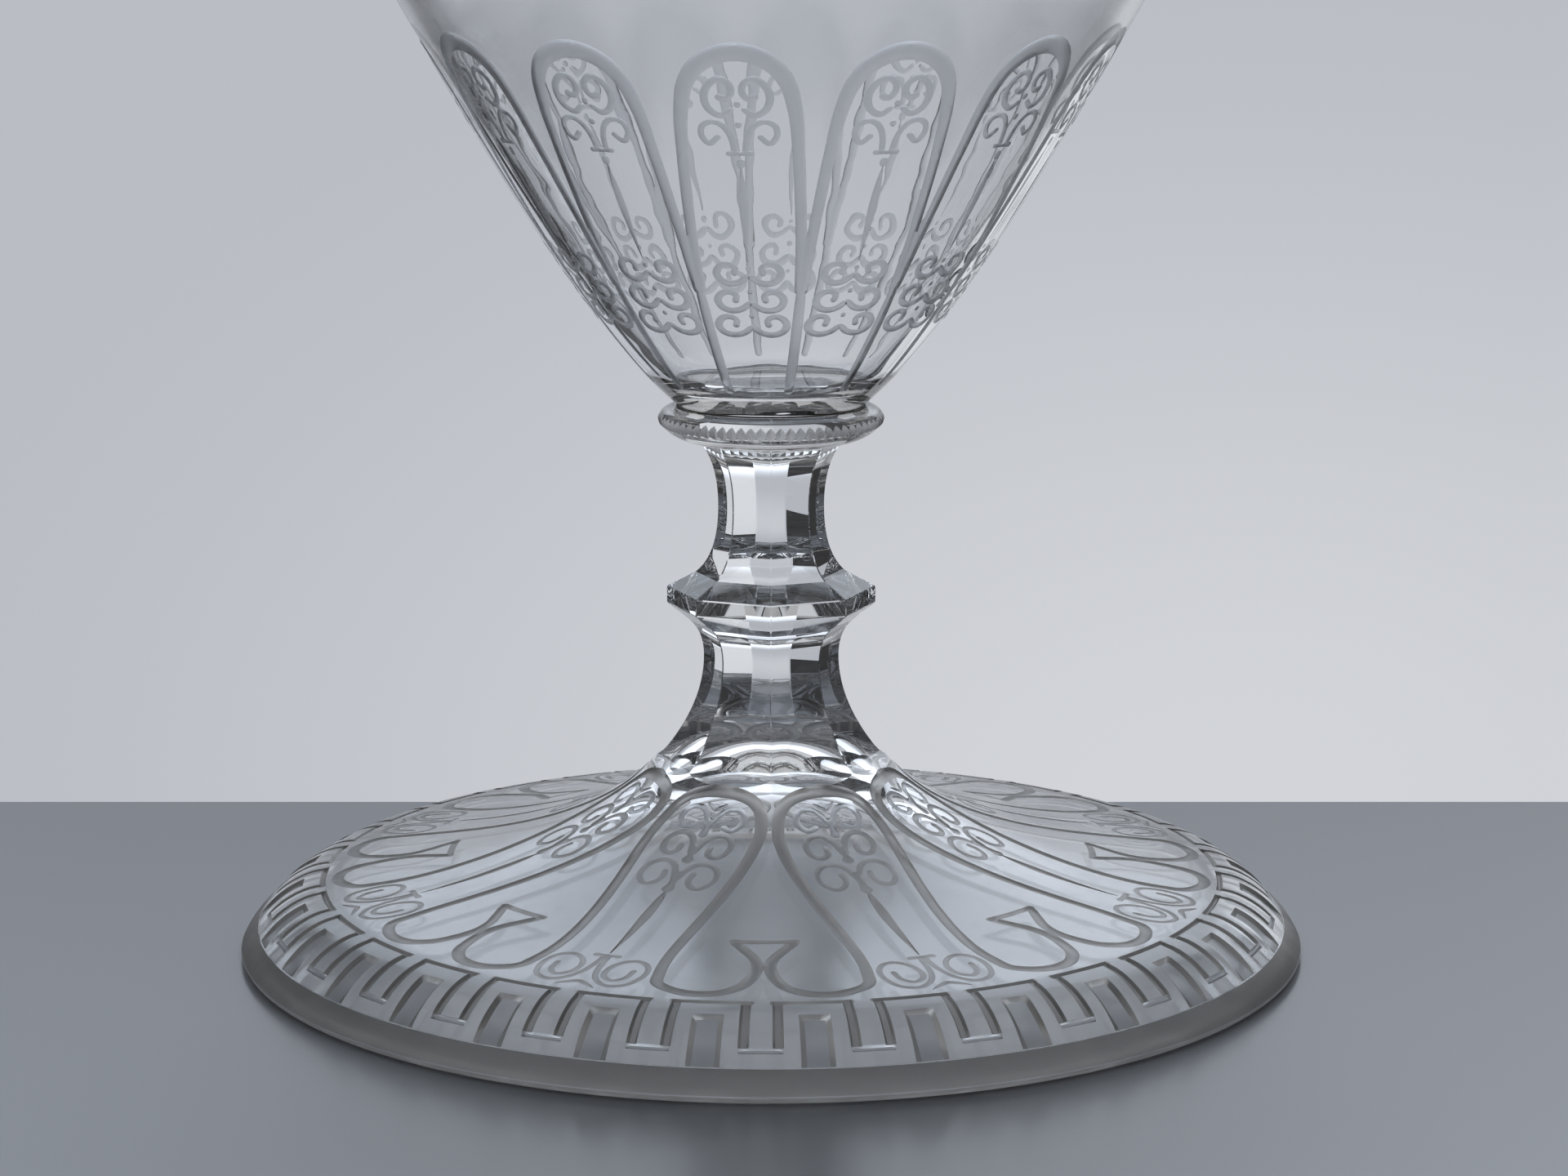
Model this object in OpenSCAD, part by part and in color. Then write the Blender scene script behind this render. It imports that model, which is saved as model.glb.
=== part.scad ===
// Pokal goblet in clear cut glass: a domed foot, an eight-sided stem with a knop, a notched collar
// and a conical bowl, each joined to the next across a flat face.
// Millimetres, +Z up. The origin is the centre of the ring that the foot stands on.

/* [Foot] */
// Widest diameter of the foot
foot_d = 130; // [116:1:150]
// Height of the foot, from the table to the stem joint
foot_h = 24.3; // [22:0.1:30]
// Height of the crest between the long sweep and the border shoulder
crest_h = 8.8; // [8:0.1:10.5]
// Radial length that the crest is rounded over, on each side of it
crest_round = 3; // [1:0.5:4]
// Radial width of the border shoulder, from the crest to the rim band
shoulder_w = 9.2; // [7:0.2:12]
// How far the shoulder bulges above a straight line
shoulder_bulge = 1.2; // [0.2:0.1:1.6]
// Height of the matte rim band
rim_h = 3.6; // [2.6:0.1:4.5]
// How far the band's top edge lies inside the widest diameter
rim_inset = 2.2; // [1.4:0.1:3]
// Height of the widest line, under the rim band
rim_bulge_h = 0.9; // [0.6:0.1:1.6]
// How far the rim band bulges above a straight line
rim_swell = 0.2; // [0.1:0.05:0.4]
// How far the seat's outer edge lies inside the widest diameter
seat_inset = 1; // [0.4:0.1:2]
// Width of the flat ring that the foot stands on
seat_w = 2.8; // [2:0.2:5]
// Thickness of glass under the crest
foot_wall = 3.2; // [2.6:0.1:4.2]
// Thickness of glass between the hollow and the stem joint
crown_wall = 1; // [0.8:0.1:6]
// Radial width of the hollow's outer slope, which follows the shoulder down to the seat
hollow_slope_w = 10.5; // [8:0.5:13]
// Lean of the hollow under the crest, away from level
hollow_lean = 7; // [4:0.5:14]
// Pull of the hollow's curve at its middle
hollow_cap_pull = 10; // [8:0.5:15]
// Pull of the hollow's curve under the crest
hollow_pull = 34; // [24:0.5:40]
// Lean of the sweep at the neck, away from upright
neck_lean = 31; // [26:1:45]
// Lean of the sweep at the crest, away from level
crest_lean = 5.5; // [1:0.1:8]
// Pull of the sweep's curve at the neck
neck_pull = 7; // [4:0.2:9]
// Pull of the sweep's curve at the crest
crest_pull = 25; // [14:0.5:30]

/* [Stem] */
// Number of cut facets round the stem
facets = 8; // [6:2:12]
// Diameter over the facet edges at the foot joint
neck_d = 25.6; // [22:0.2:30]
// Drop of the facet ends below the foot joint
facet_drop = 2.4; // [1.8:0.1:3]
// Outward flare of the facet ends below the foot joint
facet_flare = 5.2; // [4.6:0.1:7]
// Height of the lower stem
lower_stem_h = 15.8; // [12:0.2:24]
// Diameter of the lower waist over the facet edges
lower_waist_d = 16.5; // [13:0.1:20]
// Height of the lower waist above the foot joint
lower_waist_h = 11.5; // [7:0.5:12]
// Height of the upper stem
upper_stem_h = 16.2; // [12:0.2:24]
// Diameter of the upper waist over the facet edges
upper_waist_d = 12.9; // [10:0.1:17]
// Height of the upper waist above the knop
upper_waist_h = 8.2; // [5:0.2:11]
// Diameter of the stem's top over the facet edges
stem_top_d = 17.8; // [14:0.1:20]

/* [Knop] */
// Diameter of the knop over its corners
knop_d = 25.4; // [22:0.2:32]
// Height of the knop's upright band
knop_band_h = 2; // [1:0.1:4]
// Height of the slope below the band
knop_low_slope_h = 2.2; // [1.4:0.1:4]
// Height of the slope above the band
knop_top_slope_h = 1.8; // [1.2:0.1:4]
// Diameter of the knop's lower joint over its corners
knop_low_d = 19.8; // [17:0.2:22]
// Diameter of the knop's upper joint over its corners
knop_top_d = 18.4; // [15:0.2:21]

/* [Collar] */
// Widest diameter of the collar
collar_d = 27.3; // [25.4:0.1:34]
// Height of the collar
collar_h = 4.3; // [3.8:0.1:6]
// Rise of the collar's under side, from the stem joint to the notched edge
collar_under_h = 1.8; // [0.8:0.05:2.1]
// Height of the rounded edge that the notches are cut into
collar_edge_h = 1.5; // [1.2:0.1:2]
// Height of the widest line above the edge's lower corner
collar_wide_h = 0.85; // [0.6:0.05:1]
// How far the edge's lower corner lies inside the widest diameter
collar_low_inset = 0.6; // [0.4:0.05:0.8]
// How far the edge's upper corner lies inside the widest diameter
collar_top_inset = 0.25; // [0.15:0.05:0.5]
// Margin of the collar's lower face round the stem's top
collar_under_margin = 0.3; // [0.2:0.1:1]
// Ledge of the collar's upper face round the bowl's base
collar_ledge = 0.5; // [0.2:0.1:1]
// Number of notches
notch_count = 72; // [48:4:84]
// Angle between the two faces of a notch
notch_angle = 106; // [90:2:116]
// How deep a notch still is at the two corners of the edge
notch_sink = 0.08; // [0.04:0.02:0.16]

/* [Bowl] */
// Thickness of the cement film under the bowl
cement_t = 0.2; // [0.1:0.05:0.4]
// Height of the bowl
bowl_h = 105.2; // [90:0.1:130]
// Diameter of the bowl's base on the cement
base_d = 22.6; // [18:0.2:24]
// Diameter where the straight cone ends and the upper wall begins
cone_d = 87.2; // [76:0.2:100]
// Height of that level above the bowl's base
cone_h = 47.5; // [40:0.5:56]
// Diameter of the lip
lip_d = 118; // [112:0.5:130]
// Thickness of the wall
bowl_wall = 2.4; // [1.6:0.1:3.2]
// Thickness of the floor
floor_t = 3.4; // [2.4:0.1:5]
// Radius of the hollow between the floor and the wall
floor_fillet = 2; // [1:0.2:3]
// Rise of the cone at the base, away from level
base_rise = 39; // [32:1:46]
// Rise of the cone at its upper end, away from level
cone_rise = 61; // [57:1:66]
// Rise of the wall at the lip, away from level
lip_rise = 86; // [80:1:90]
// Pull of the cone's curve at the base
base_pull = 12.5; // [8:0.5:16]
// Pull of the cone's curve at its upper end
cone_pull = 20.5; // [14:0.5:26]
// Pull of the upper wall's curve above the cone
wall_pull = 21; // [16:0.5:26]
// Pull of the upper wall's curve under the lip
lip_pull = 27; // [20:0.5:34]

/* [Hidden] */

GLASS = [0.80, 0.83, 0.86, 0.55];
CUT_GLASS = [0.72, 0.76, 0.80, 0.60];
CEMENT = [0.36, 0.31, 0.26];

// Steps along a curve, and the fineness of the true rounds
sweep_steps = 24;
shoulder_steps = 10;
cone_steps = 14;
wall_steps = 10;
stem_steps = 8;
small_steps = 6;
edge_steps = 3;
$fn = 96;

// Where the tangents of the round under the rim band meet, as a share of its height from the widest line
rim_meet = 0.5;
// Where the tangents of the hollow's outer slope meet, as a share of its width from the crest
slope_meet = 0.5;

// Where the tangents of each stem curve meet, as a share of its half length measured from its outer end
lower_foot_meet = 0.50;
lower_knop_meet = 0.35;
upper_knop_meet = 0.26;
upper_collar_meet = 0.32;
// Where the tangents of the collar's under side meet, as shares of its width and of its rise
under_meet = 0.72;
under_turn_rise = 0.24;
// Where the tangents of the collar's edge meet, as a share of the height from a corner to the widest line
edge_meet = 0.5;
// Where the tangents of the collar's crown meet: inside the edge's upper corner, and as a share of its rise
crown_inset = 0.25;
crown_rise = 0.65;
// Where a facet turns outward at the neck, as a share of its drop
facet_turn_share = 0.7;

// Levels of the joints
knop_z = foot_h + lower_stem_h;
knop_h = knop_low_slope_h + knop_band_h + knop_top_slope_h;
upper_stem_z = knop_z + knop_h;
collar_z = upper_stem_z + upper_stem_h;
cement_z = collar_z + collar_h;
bowl_z = cement_z + cement_t;

// Radii
foot_r = foot_d / 2;
band_r = foot_r - rim_inset;
crest_r = band_r - shoulder_w;
seat_r = foot_r - seat_inset;
hollow_r = seat_r - seat_w;
neck_r = neck_d / 2;
base_r = base_d / 2;
cone_r = cone_d / 2;
lip_r = lip_d / 2;
facet_angle = 360 / facets;
apothem_share = cos(facet_angle / 2);
// Spare glass outside the facet edges at the neck, so that the facets cut clean corners there
neck_spare = 0.5;
// Reach of a facet cut on each side of the axis, well past the foot
cut_reach = foot_d;

function unit(angle) = [cos(angle), sin(angle)];
function mix(a, b, t) = a + (b - a) * t;
function quad(p, t) = mix(mix(p[0], p[1], t), mix(p[1], p[2], t), t);
function cubic(p, t) = mix(quad([p[0], p[1], p[2]], t), quad([p[1], p[2], p[3]], t), t);
function quad_curve(p, steps) = [for (i = [0:steps]) quad(p, i / steps)];
function cubic_curve(p, steps) = [for (i = [0:steps]) cubic(p, i / steps)];
function tail(points) = [for (i = [1:len(points) - 1]) points[i]];
function flip(points) = [for (i = [len(points) - 1:-1:0]) points[i]];

// Middle control point of a curve that bulges by a height to the left of a straight line
function bulged(a, b, height) = (a + b) / 2 + 2 * height * [a[1] - b[1], b[0] - a[0]] / norm(b - a);

// Points of a curve moved to its left by a distance
function heading(points, i) =
    let (a = points[max(i - 1, 0)], b = points[min(i + 1, len(points) - 1)]) (b - a) / norm(b - a);
function shifted(points, distance) =
    [for (i = [0:len(points) - 1]) let (h = heading(points, i)) points[i] + distance * [-h[1], h[0]]];

// Upper side of the foot, from the neck to the crest, then over the shoulder to the rim band
neck_point = [neck_r + neck_spare, foot_h];
crest_point = [crest_r, crest_h];
band_point = [band_r, rim_h];
sweep_line = cubic_curve([
    neck_point,
    neck_point + neck_pull * unit(neck_lean - 90),
    crest_point - crest_pull * unit(-crest_lean),
    crest_point
], sweep_steps);
shoulder_line = quad_curve([
    crest_point,
    bulged(crest_point, band_point, shoulder_bulge),
    band_point
], shoulder_steps);
sweep = [for (p = sweep_line) if (p[0] < crest_r - crest_round) p];
shoulder = [for (p = shoulder_line) if (p[0] > crest_r + crest_round) p];
crest = quad_curve([sweep[len(sweep) - 1], crest_point, shoulder[0]], small_steps);

// Rim band, and the round under it
widest_point = [foot_r, rim_bulge_h];
rim_band = quad_curve([band_point, bulged(band_point, widest_point, rim_swell), widest_point], small_steps);
rim_round = quad_curve([widest_point, [foot_r, mix(rim_bulge_h, 0, rim_meet)], [seat_r, 0]], small_steps);

// Underside of the foot: a level cap, a long fall that follows the sweep, and a slope along the shoulder
hollow_cap = [0, foot_h - crown_wall];
under_crest = [hollow_r - hollow_slope_w, crest_h - foot_wall];
hollow_line = cubic_curve([
    hollow_cap,
    hollow_cap + [hollow_cap_pull, 0],
    under_crest - hollow_pull * unit(-hollow_lean),
    under_crest
], sweep_steps);
slope_turn = under_crest + slope_meet * hollow_slope_w * [1, -tan(hollow_lean)];
hollow_slope = quad_curve([under_crest, slope_turn, [hollow_r, 0]], small_steps);

foot_outline = concat(
    [[0, foot_h]], sweep, tail(crest), tail(shoulder), tail(rim_band), tail(rim_round),
    flip(concat(hollow_line, tail(hollow_slope)))
);

// Facet depth at the foot's neck: it carries the lower stem's slope on, then flares out of the glass
neck_facet_point = [neck_r * apothem_share, foot_h];
stem_foot_slope = (neck_r - lower_waist_d / 2) * apothem_share / (lower_foot_meet * lower_waist_h);
facet_turn = facet_turn_share * facet_drop;
neck_facet = quad_curve([
    neck_facet_point,
    neck_facet_point + [stem_foot_slope * facet_turn, -facet_turn],
    neck_facet_point + [facet_flare, -facet_drop]
], stem_steps);

// Half outline of a waisted stem length, over the facet edges, from its lower end to its upper end
function waisted(low_r, low_z, waist_r, waist_z, top_r, top_z, low_meet, top_meet) = concat(
    quad_curve([[low_r, low_z], [waist_r, mix(low_z, waist_z, low_meet)], [waist_r, waist_z]], stem_steps),
    tail(quad_curve(
        [[waist_r, waist_z], [waist_r, mix(top_z, waist_z, top_meet)], [top_r, top_z]], stem_steps
    ))
);

// Outer side of the bowl, from its base to the lip
bowl_base_point = [base_r, bowl_z];
cone_point = [cone_r, bowl_z + cone_h];
lip_point = [lip_r, bowl_z + bowl_h - bowl_wall / 2 * (1 + cos(lip_rise))];
cone_line = cubic_curve([
    bowl_base_point,
    bowl_base_point + base_pull * unit(base_rise),
    cone_point - cone_pull * unit(cone_rise),
    cone_point
], cone_steps);
wall_line = cubic_curve([
    cone_point,
    cone_point + wall_pull * unit(cone_rise),
    lip_point - lip_pull * unit(lip_rise),
    lip_point
], wall_steps);
bowl_outside = concat(cone_line, tail(wall_line));

// Inner side of the bowl: the outer side moved in by the wall, kept above the floor's hollow
floor_z = bowl_z + floor_t;
bowl_inside = [for (p = shifted(bowl_outside, bowl_wall)) if (p[1] > floor_z + floor_fillet) p];
hollow_start = bowl_inside[0];
hollow_dir = heading(bowl_inside, 0);
hollow_meet = hollow_start + hollow_dir * (floor_z - hollow_start[1]) / hollow_dir[1];
floor_round = quad_curve([hollow_start, hollow_meet, hollow_meet - [floor_fillet, 0]], small_steps);
lip_inner = bowl_inside[len(bowl_inside) - 1];
lip_dir = heading(bowl_outside, len(bowl_outside) - 1);
lip_round = [
    for (i = [1:small_steps - 1])
        let (a = 180 * i / small_steps)
        (lip_point + lip_inner) / 2 + (lip_point - lip_inner) / 2 * cos(a) + lip_dir * bowl_wall / 2 * sin(a)
];
bowl_outline = concat(
    [[0, bowl_z]], bowl_outside, lip_round, flip(bowl_inside), tail(floor_round), [[0, floor_z]]
);

// Collar outline, from the stem joint up to the cement
collar_r = collar_d / 2;
under_point = [stem_top_d / 2 + collar_under_margin, collar_z];
low_corner = [collar_r - collar_low_inset, collar_z + collar_under_h];
wide_point = [collar_r, low_corner[1] + collar_wide_h];
top_corner = [collar_r - collar_top_inset, low_corner[1] + collar_edge_h];
ledge_point = [base_r + collar_ledge, cement_z];
under_turn = [mix(under_point[0], low_corner[0], under_meet), mix(collar_z, low_corner[1], under_turn_rise)];
under_line = quad_curve([under_point, under_turn, low_corner], small_steps);
low_turn = [collar_r, mix(low_corner[1], wide_point[1], edge_meet)];
low_edge = quad_curve([low_corner, low_turn, wide_point], edge_steps);
top_turn = [collar_r, mix(top_corner[1], wide_point[1], edge_meet)];
top_edge = quad_curve([wide_point, top_turn, top_corner], edge_steps);
crown_turn = [top_corner[0] - crown_inset, mix(top_corner[1], cement_z, crown_rise)];
crown = quad_curve([top_corner, crown_turn, ledge_point], small_steps);
collar_outline = concat(
    [[0, collar_z]], under_line, tail(low_edge), tail(top_edge), tail(crown), [[0, cement_z]]
);
notch_length = norm(top_corner - low_corner);
notch_lean = atan2(top_corner[1] - low_corner[1], top_corner[0] - low_corner[0]);
// How far a notch runs past both corners of the edge, and how far it reaches out of the glass
notch_overrun = 0.3;
notch_reach = 1.2;

// Keeps what lies inside a half outline on every facet; the outline runs upward and gives facet depths
module inside_facets(outline) {
    mirrored = concat(outline, [for (p = flip(outline)) [-p[0], p[1]]]);
    intersection_for (i = [0:facets / 2 - 1]) {
        rotate([90, 0, (i + 0.5) * facet_angle])
            linear_extrude(height = 2 * cut_reach, center = true)
                polygon(mirrored);
    }
}

// A stem length or knop whose half outline is given over its facet edges
module faceted(edge_outline) {
    inside_facets([for (p = edge_outline) [p[0] * apothem_share, p[1]]]);
}

// One straight notch across the collar's rounded edge, deepest where the edge is widest
module notch() {
    half_width = notch_reach * tan(notch_angle / 2);
    translate([low_corner[0], 0, low_corner[1]])
        rotate([0, 90 - notch_lean, 0])
            translate([-notch_sink, 0, -notch_overrun])
                linear_extrude(height = notch_length + 2 * notch_overrun)
                    polygon([[0, 0], [notch_reach, -half_width], [notch_reach, half_width]]);
}

module foot() {
    color(GLASS) intersection() {
        rotate_extrude() polygon(foot_outline);
        inside_facets(concat(
            [[cut_reach, -foot_h], [cut_reach, foot_h - facet_drop]],
            flip(neck_facet),
            [[neck_facet_point[0], 2 * foot_h]]
        ));
    }
}

module lower_stem() {
    color(CUT_GLASS) faceted(waisted(
        neck_r, foot_h, lower_waist_d / 2, foot_h + lower_waist_h,
        knop_low_d / 2, knop_z, lower_foot_meet, lower_knop_meet
    ));
}

module knop() {
    band_z = knop_z + knop_low_slope_h;
    color(CUT_GLASS) faceted([
        [knop_low_d / 2, knop_z],
        [knop_d / 2, band_z],
        [knop_d / 2, band_z + knop_band_h],
        [knop_top_d / 2, upper_stem_z]
    ]);
}

module upper_stem() {
    color(CUT_GLASS) faceted(waisted(
        knop_top_d / 2, upper_stem_z, upper_waist_d / 2, upper_stem_z + upper_waist_h,
        stem_top_d / 2, collar_z, upper_knop_meet, upper_collar_meet
    ));
}

module collar() {
    color(CUT_GLASS) difference() {
        rotate_extrude() polygon(collar_outline);
        for (i = [0:notch_count - 1]) rotate([0, 0, i * 360 / notch_count]) notch();
    }
}

module bowl_cement() {
    color(CEMENT) translate([0, 0, cement_z]) cylinder(r = base_r, h = cement_t);
}

module bowl() {
    color(GLASS) rotate_extrude() polygon(bowl_outline);
}

foot();
lower_stem();
knop();
upper_stem();
collar();
bowl_cement();
bowl();
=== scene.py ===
"""Looks of an engraved glass goblet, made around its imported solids.

Shapes are worked out in millimetres, in the goblet's own frame, and their meshes are written in metres.
A round piece is made as one half sector in cylinder places (radius, angle, height), which is mirrored and
then repeated round the upright axis by a Geometry Nodes ring.
"""

import logging
import math
from abc import ABC, abstractmethod
from dataclasses import dataclass, replace
from enum import IntEnum
from typing import Callable

import bpy
import numpy as np
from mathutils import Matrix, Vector
from mathutils.geometry import delaunay_2d_cdt


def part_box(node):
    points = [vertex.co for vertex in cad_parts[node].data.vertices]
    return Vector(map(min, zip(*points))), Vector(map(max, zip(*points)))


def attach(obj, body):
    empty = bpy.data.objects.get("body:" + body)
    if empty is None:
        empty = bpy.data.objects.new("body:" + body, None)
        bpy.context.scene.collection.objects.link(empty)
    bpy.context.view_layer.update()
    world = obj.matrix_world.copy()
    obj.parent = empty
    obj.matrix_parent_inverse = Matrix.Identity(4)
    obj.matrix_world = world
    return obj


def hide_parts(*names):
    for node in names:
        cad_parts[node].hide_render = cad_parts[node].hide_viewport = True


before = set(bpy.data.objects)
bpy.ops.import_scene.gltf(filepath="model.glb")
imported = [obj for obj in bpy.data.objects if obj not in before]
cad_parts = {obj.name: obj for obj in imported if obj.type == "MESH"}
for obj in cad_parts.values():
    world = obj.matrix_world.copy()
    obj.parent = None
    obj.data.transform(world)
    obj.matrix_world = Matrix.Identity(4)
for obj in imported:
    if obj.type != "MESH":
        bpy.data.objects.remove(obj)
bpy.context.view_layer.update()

Array = np.ndarray
Pair = tuple[float, float]
Place = tuple[float, float, float]
Colour = tuple[float, float, float]
Path = tuple[Pair, ...]
Socket = bpy.types.NodeSocket

MM = 0.001
TURN = 2 * math.pi
BODY = "root"
GLASS_SLOT = "clear_glass"
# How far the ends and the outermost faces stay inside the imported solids, in millimetres
CLEARANCE = 0.006
# Depths in millimetres that differ by less than this make a level floor
LEVEL = 0.004
# Radii below this lie on the axis
ON_AXIS = 1e-9
# Lengths, depths and map areas below these count as none
TINY = 1e-6
SLIVER = 1e-12
# An apothem past every round side
FAR = 1e6
# How near spots of an engraved map are welded
MAP_WELD = 2e-6
# Noise values between which a finish's patches and the cement's specks change
PATCH_SPAN = (0.35, 0.7)
SPECK_SPAN = (0.35, 0.65)
# Refractive index of the glass
GLASS_IOR = 1.52

log = logging.getLogger("goblet")


class Finish(IntEnum):
    """Which finish a face takes."""

    CLEAR = 0
    MATTE = 1
    SATIN = 2
    PALE = 3
    FROST = 4
    WAVED = 5
    WORN = 6
    JOINT = 7
    EDGE = 8
    DULL = 9


Materials = dict[Finish, bpy.types.Material]


class Side(IntEnum):
    """On which side of an outline's heading the outer world lies."""

    LEFT = 1
    RIGHT = -1


def unit(degrees: float) -> Array:
    """Gives the direction at an angle above the outward radius."""
    angle = math.radians(degrees)
    return np.array([math.cos(angle), math.sin(angle)])


def bezier(controls: list, steps: int) -> Array:
    """Finds points along a Bezier curve.

    Args:
        controls: The curve's control points, as (radius, height).
        steps: How many steps the curve is walked in.

    Returns:
        The points, one row each.
    """
    share = np.linspace(0, 1, steps + 1)[:, None, None]
    level = np.array([[float(x) for x in point] for point in controls])[None]
    while level.shape[1] > 1:
        level = level[:, :-1] * (1 - share) + level[:, 1:] * share
    return level[:, 0]


def normed(rows: Array) -> Array:
    """Gives rows of vectors the length of one."""
    return rows / np.linalg.norm(rows, axis=1, keepdims=True)


def strung(*curves: Array) -> Array:
    """Strings curves together, each without its shared first point."""
    return np.vstack([curves[0], *(curve[1:] for curve in curves[1:])])


def smooth_line(points: Array, step: float) -> Array:
    """Draws a smooth line through points.

    Args:
        points: One row each: offset and run, then any values that change along the line.
        step: The distance between the line's own points.

    Returns:
        The line's points, with as many columns as were given.
    """
    chord = np.r_[0, np.cumsum(np.hypot(*np.diff(points[:, :2], axis=0).T))]
    slope = np.gradient(points, chord, axis=0)
    at = np.linspace(0, chord[-1], max(2, math.ceil(chord[-1] / step) + 1))
    i = np.clip(np.searchsorted(chord, at, "right") - 1, 0, len(chord) - 2)
    gap = (chord[i + 1] - chord[i])[:, None]
    t = (at - chord[i])[:, None] / gap
    start = (1 + 2 * t) * (1 - t) ** 2 * points[i] + t * (1 - t) ** 2 * gap * slope[i]
    end = t**2 * (3 - 2 * t) * points[i + 1] - t**2 * (1 - t) * gap * slope[i + 1]
    return start + end


def node_levels(node: str) -> Pair:
    """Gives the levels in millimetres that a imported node's ends are drawn at, a hair inside it."""
    low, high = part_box(node)
    return round(low.z / MM, 2) + CLEARANCE, round(high.z / MM, 2) - CLEARANCE


def node_radius(node: str) -> float:
    """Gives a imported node's reach from the axis in millimetres."""
    return round(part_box(node)[1].x / MM, 2)


class Profile:
    """A half outline of a round piece, with its arc length, its flattened run and its outward normals.

    The flattened run grows by arc length over radius, so that angle and flattened run make a map of the
    surface on which small shapes keep their form.
    """

    def __init__(self, points: Array, outer: Side) -> None:
        """Measures an outline.

        Args:
            points: The outline, as (radius, height).
            outer: The side of the outline that faces the outer world.
        """
        step = np.hypot(*np.diff(points, axis=0).T)
        self.points = points
        self.run = np.r_[0, np.cumsum(step)]
        self.flat = np.r_[0, np.cumsum(2 * step / (points[1:, 0] + points[:-1, 0]))]
        heading = np.gradient(points, self.run, axis=0)
        self.normals = normed(outer * np.column_stack([-heading[:, 1], heading[:, 0]]))
        self.outer = outer

    def radius_at(self, run: Array) -> Array:
        """Gives the radius at an arc length."""
        return np.interp(run, self.run, self.points[:, 0])

    def flat_at(self, run: Array) -> Array:
        """Gives the flattened run at an arc length, carried straight on past the outline's end."""
        past = np.maximum(np.asarray(run) - self.run[-1], 0) / self.points[-1, 0]
        return np.interp(run, self.run, self.flat) + past

    def at(self, flat: Array) -> tuple[Array, Array]:
        """Finds places on the outline.

        Args:
            flat: Flattened runs.

        Returns:
            The points and the outward normals there, one row each.
        """
        points = np.column_stack([np.interp(flat, self.flat, column) for column in self.points.T])
        normals = np.column_stack([np.interp(flat, self.flat, column) for column in self.normals.T])
        return points, normed(normals)


def cartesian(places: Array) -> Array:
    """Turns cylinder places into x, y and z."""
    radius, angle, height = np.moveaxis(places, -1, 0)
    return np.stack([radius * np.cos(angle), radius * np.sin(angle), height], axis=-1)


def turned(parts: Array, angle: Array) -> Array:
    """Turns directions given as radial, around and up parts at an angle into x, y and z.

    Args:
        parts: The directions, along the last axis.
        angle: The angle of each.

    Returns:
        The directions in x, y and z.
    """
    radial, around, up = np.moveaxis(parts, -1, 0)
    cos, sin = np.cos(angle), np.sin(angle)
    return np.stack([radial * cos - around * sin, radial * sin + around * cos, up], axis=-1)


def triangle_normals(corners: Array) -> Array:
    """Gives the unnormalised normals of triangles from their corners."""
    return np.cross(corners[:, 1] - corners[:, 0], corners[:, 2] - corners[:, 0])


@dataclass
class Patch:
    """Triangles of a sector.

    Attributes:
        places: Radius, angle and height of each point.
        triangles: Three point numbers each.
        finishes: The finish of each triangle.
        normals: Radial, around and up parts at each corner, or zero where neighbours are to be averaged.
    """

    places: Array
    triangles: Array
    finishes: Array
    normals: Array

    @classmethod
    def joined(cls, *patches: "Patch") -> "Patch":
        """Puts patches together without welding them.

        Args:
            patches: The patches.

        Returns:
            One patch.
        """
        starts = np.cumsum([0, *(len(p.places) for p in patches[:-1])])
        return cls(
            np.vstack([p.places for p in patches]),
            np.vstack([p.triangles + start for p, start in zip(patches, starts)]),
            np.concatenate([p.finishes for p in patches]),
            np.vstack([p.normals for p in patches]),
        )

    def mirrored(self) -> "Patch":
        """Joins the patch with its mirror image across its zero angle.

        Returns:
            The whole sector.
        """
        flip = np.array([1, -1, 1])
        image = Patch(
            self.places * flip, self.triangles[:, ::-1], self.finishes, self.normals[:, ::-1] * flip
        )
        return Patch.joined(self, image)

    def flattened(self, only: Array | None = None) -> "Patch":
        """Gives corners their own triangle's normal.

        Args:
            only: Which triangles, or all of them.

        Returns:
            The patch itself.
        """
        corners = self.places[self.triangles]
        normals = triangle_normals(cartesian(corners))
        normals /= np.maximum(np.linalg.norm(normals, axis=1, keepdims=True), SLIVER)
        flat = turned(np.repeat(normals[:, None], 3, axis=1), -corners[:, :, 1])
        self.normals = flat if only is None else np.where(only[:, None, None], flat, self.normals)
        return self


def revolved(profile: Profile, angles: Array, finish: Finish) -> Patch:
    """Turns an outline about the axis through a sector.

    Args:
        profile: The outline.
        angles: The sector's angles, rising, the same for every row or one line for each.
        finish: The finish of the surface.

    Returns:
        The patch, without the triangles that have no area at the axis.
    """
    rows, columns = len(profile.points), np.shape(angles)[-1]
    places = np.empty((rows, columns, 3))
    places[:, :, 0] = profile.points[:, :1]
    places[:, :, 1] = angles
    places[:, :, 2] = profile.points[:, 1:]
    index = np.arange(rows * columns).reshape(rows, columns)
    a, b, c, d = index[:-1, :-1], index[1:, :-1], index[1:, 1:], index[:-1, 1:]
    triangles = np.concatenate([np.dstack([a, b, c]), np.dstack([a, c, d])]).reshape(-1, 3)
    triangles = triangles[:, :: int(profile.outer)]
    places = places.reshape(-1, 3)
    at_axis = (places[triangles][:, :, 0] < ON_AXIS).sum(axis=1)
    triangles = triangles[at_axis < 2]
    normals = np.zeros((rows, columns, 3))
    normals[:, :, 0] = profile.normals[:, :1]
    normals[:, :, 2] = profile.normals[:, 1:]
    corners = normals.reshape(-1, 3)[triangles]
    return Patch(places, triangles, np.full(len(triangles), finish), corners)


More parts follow.
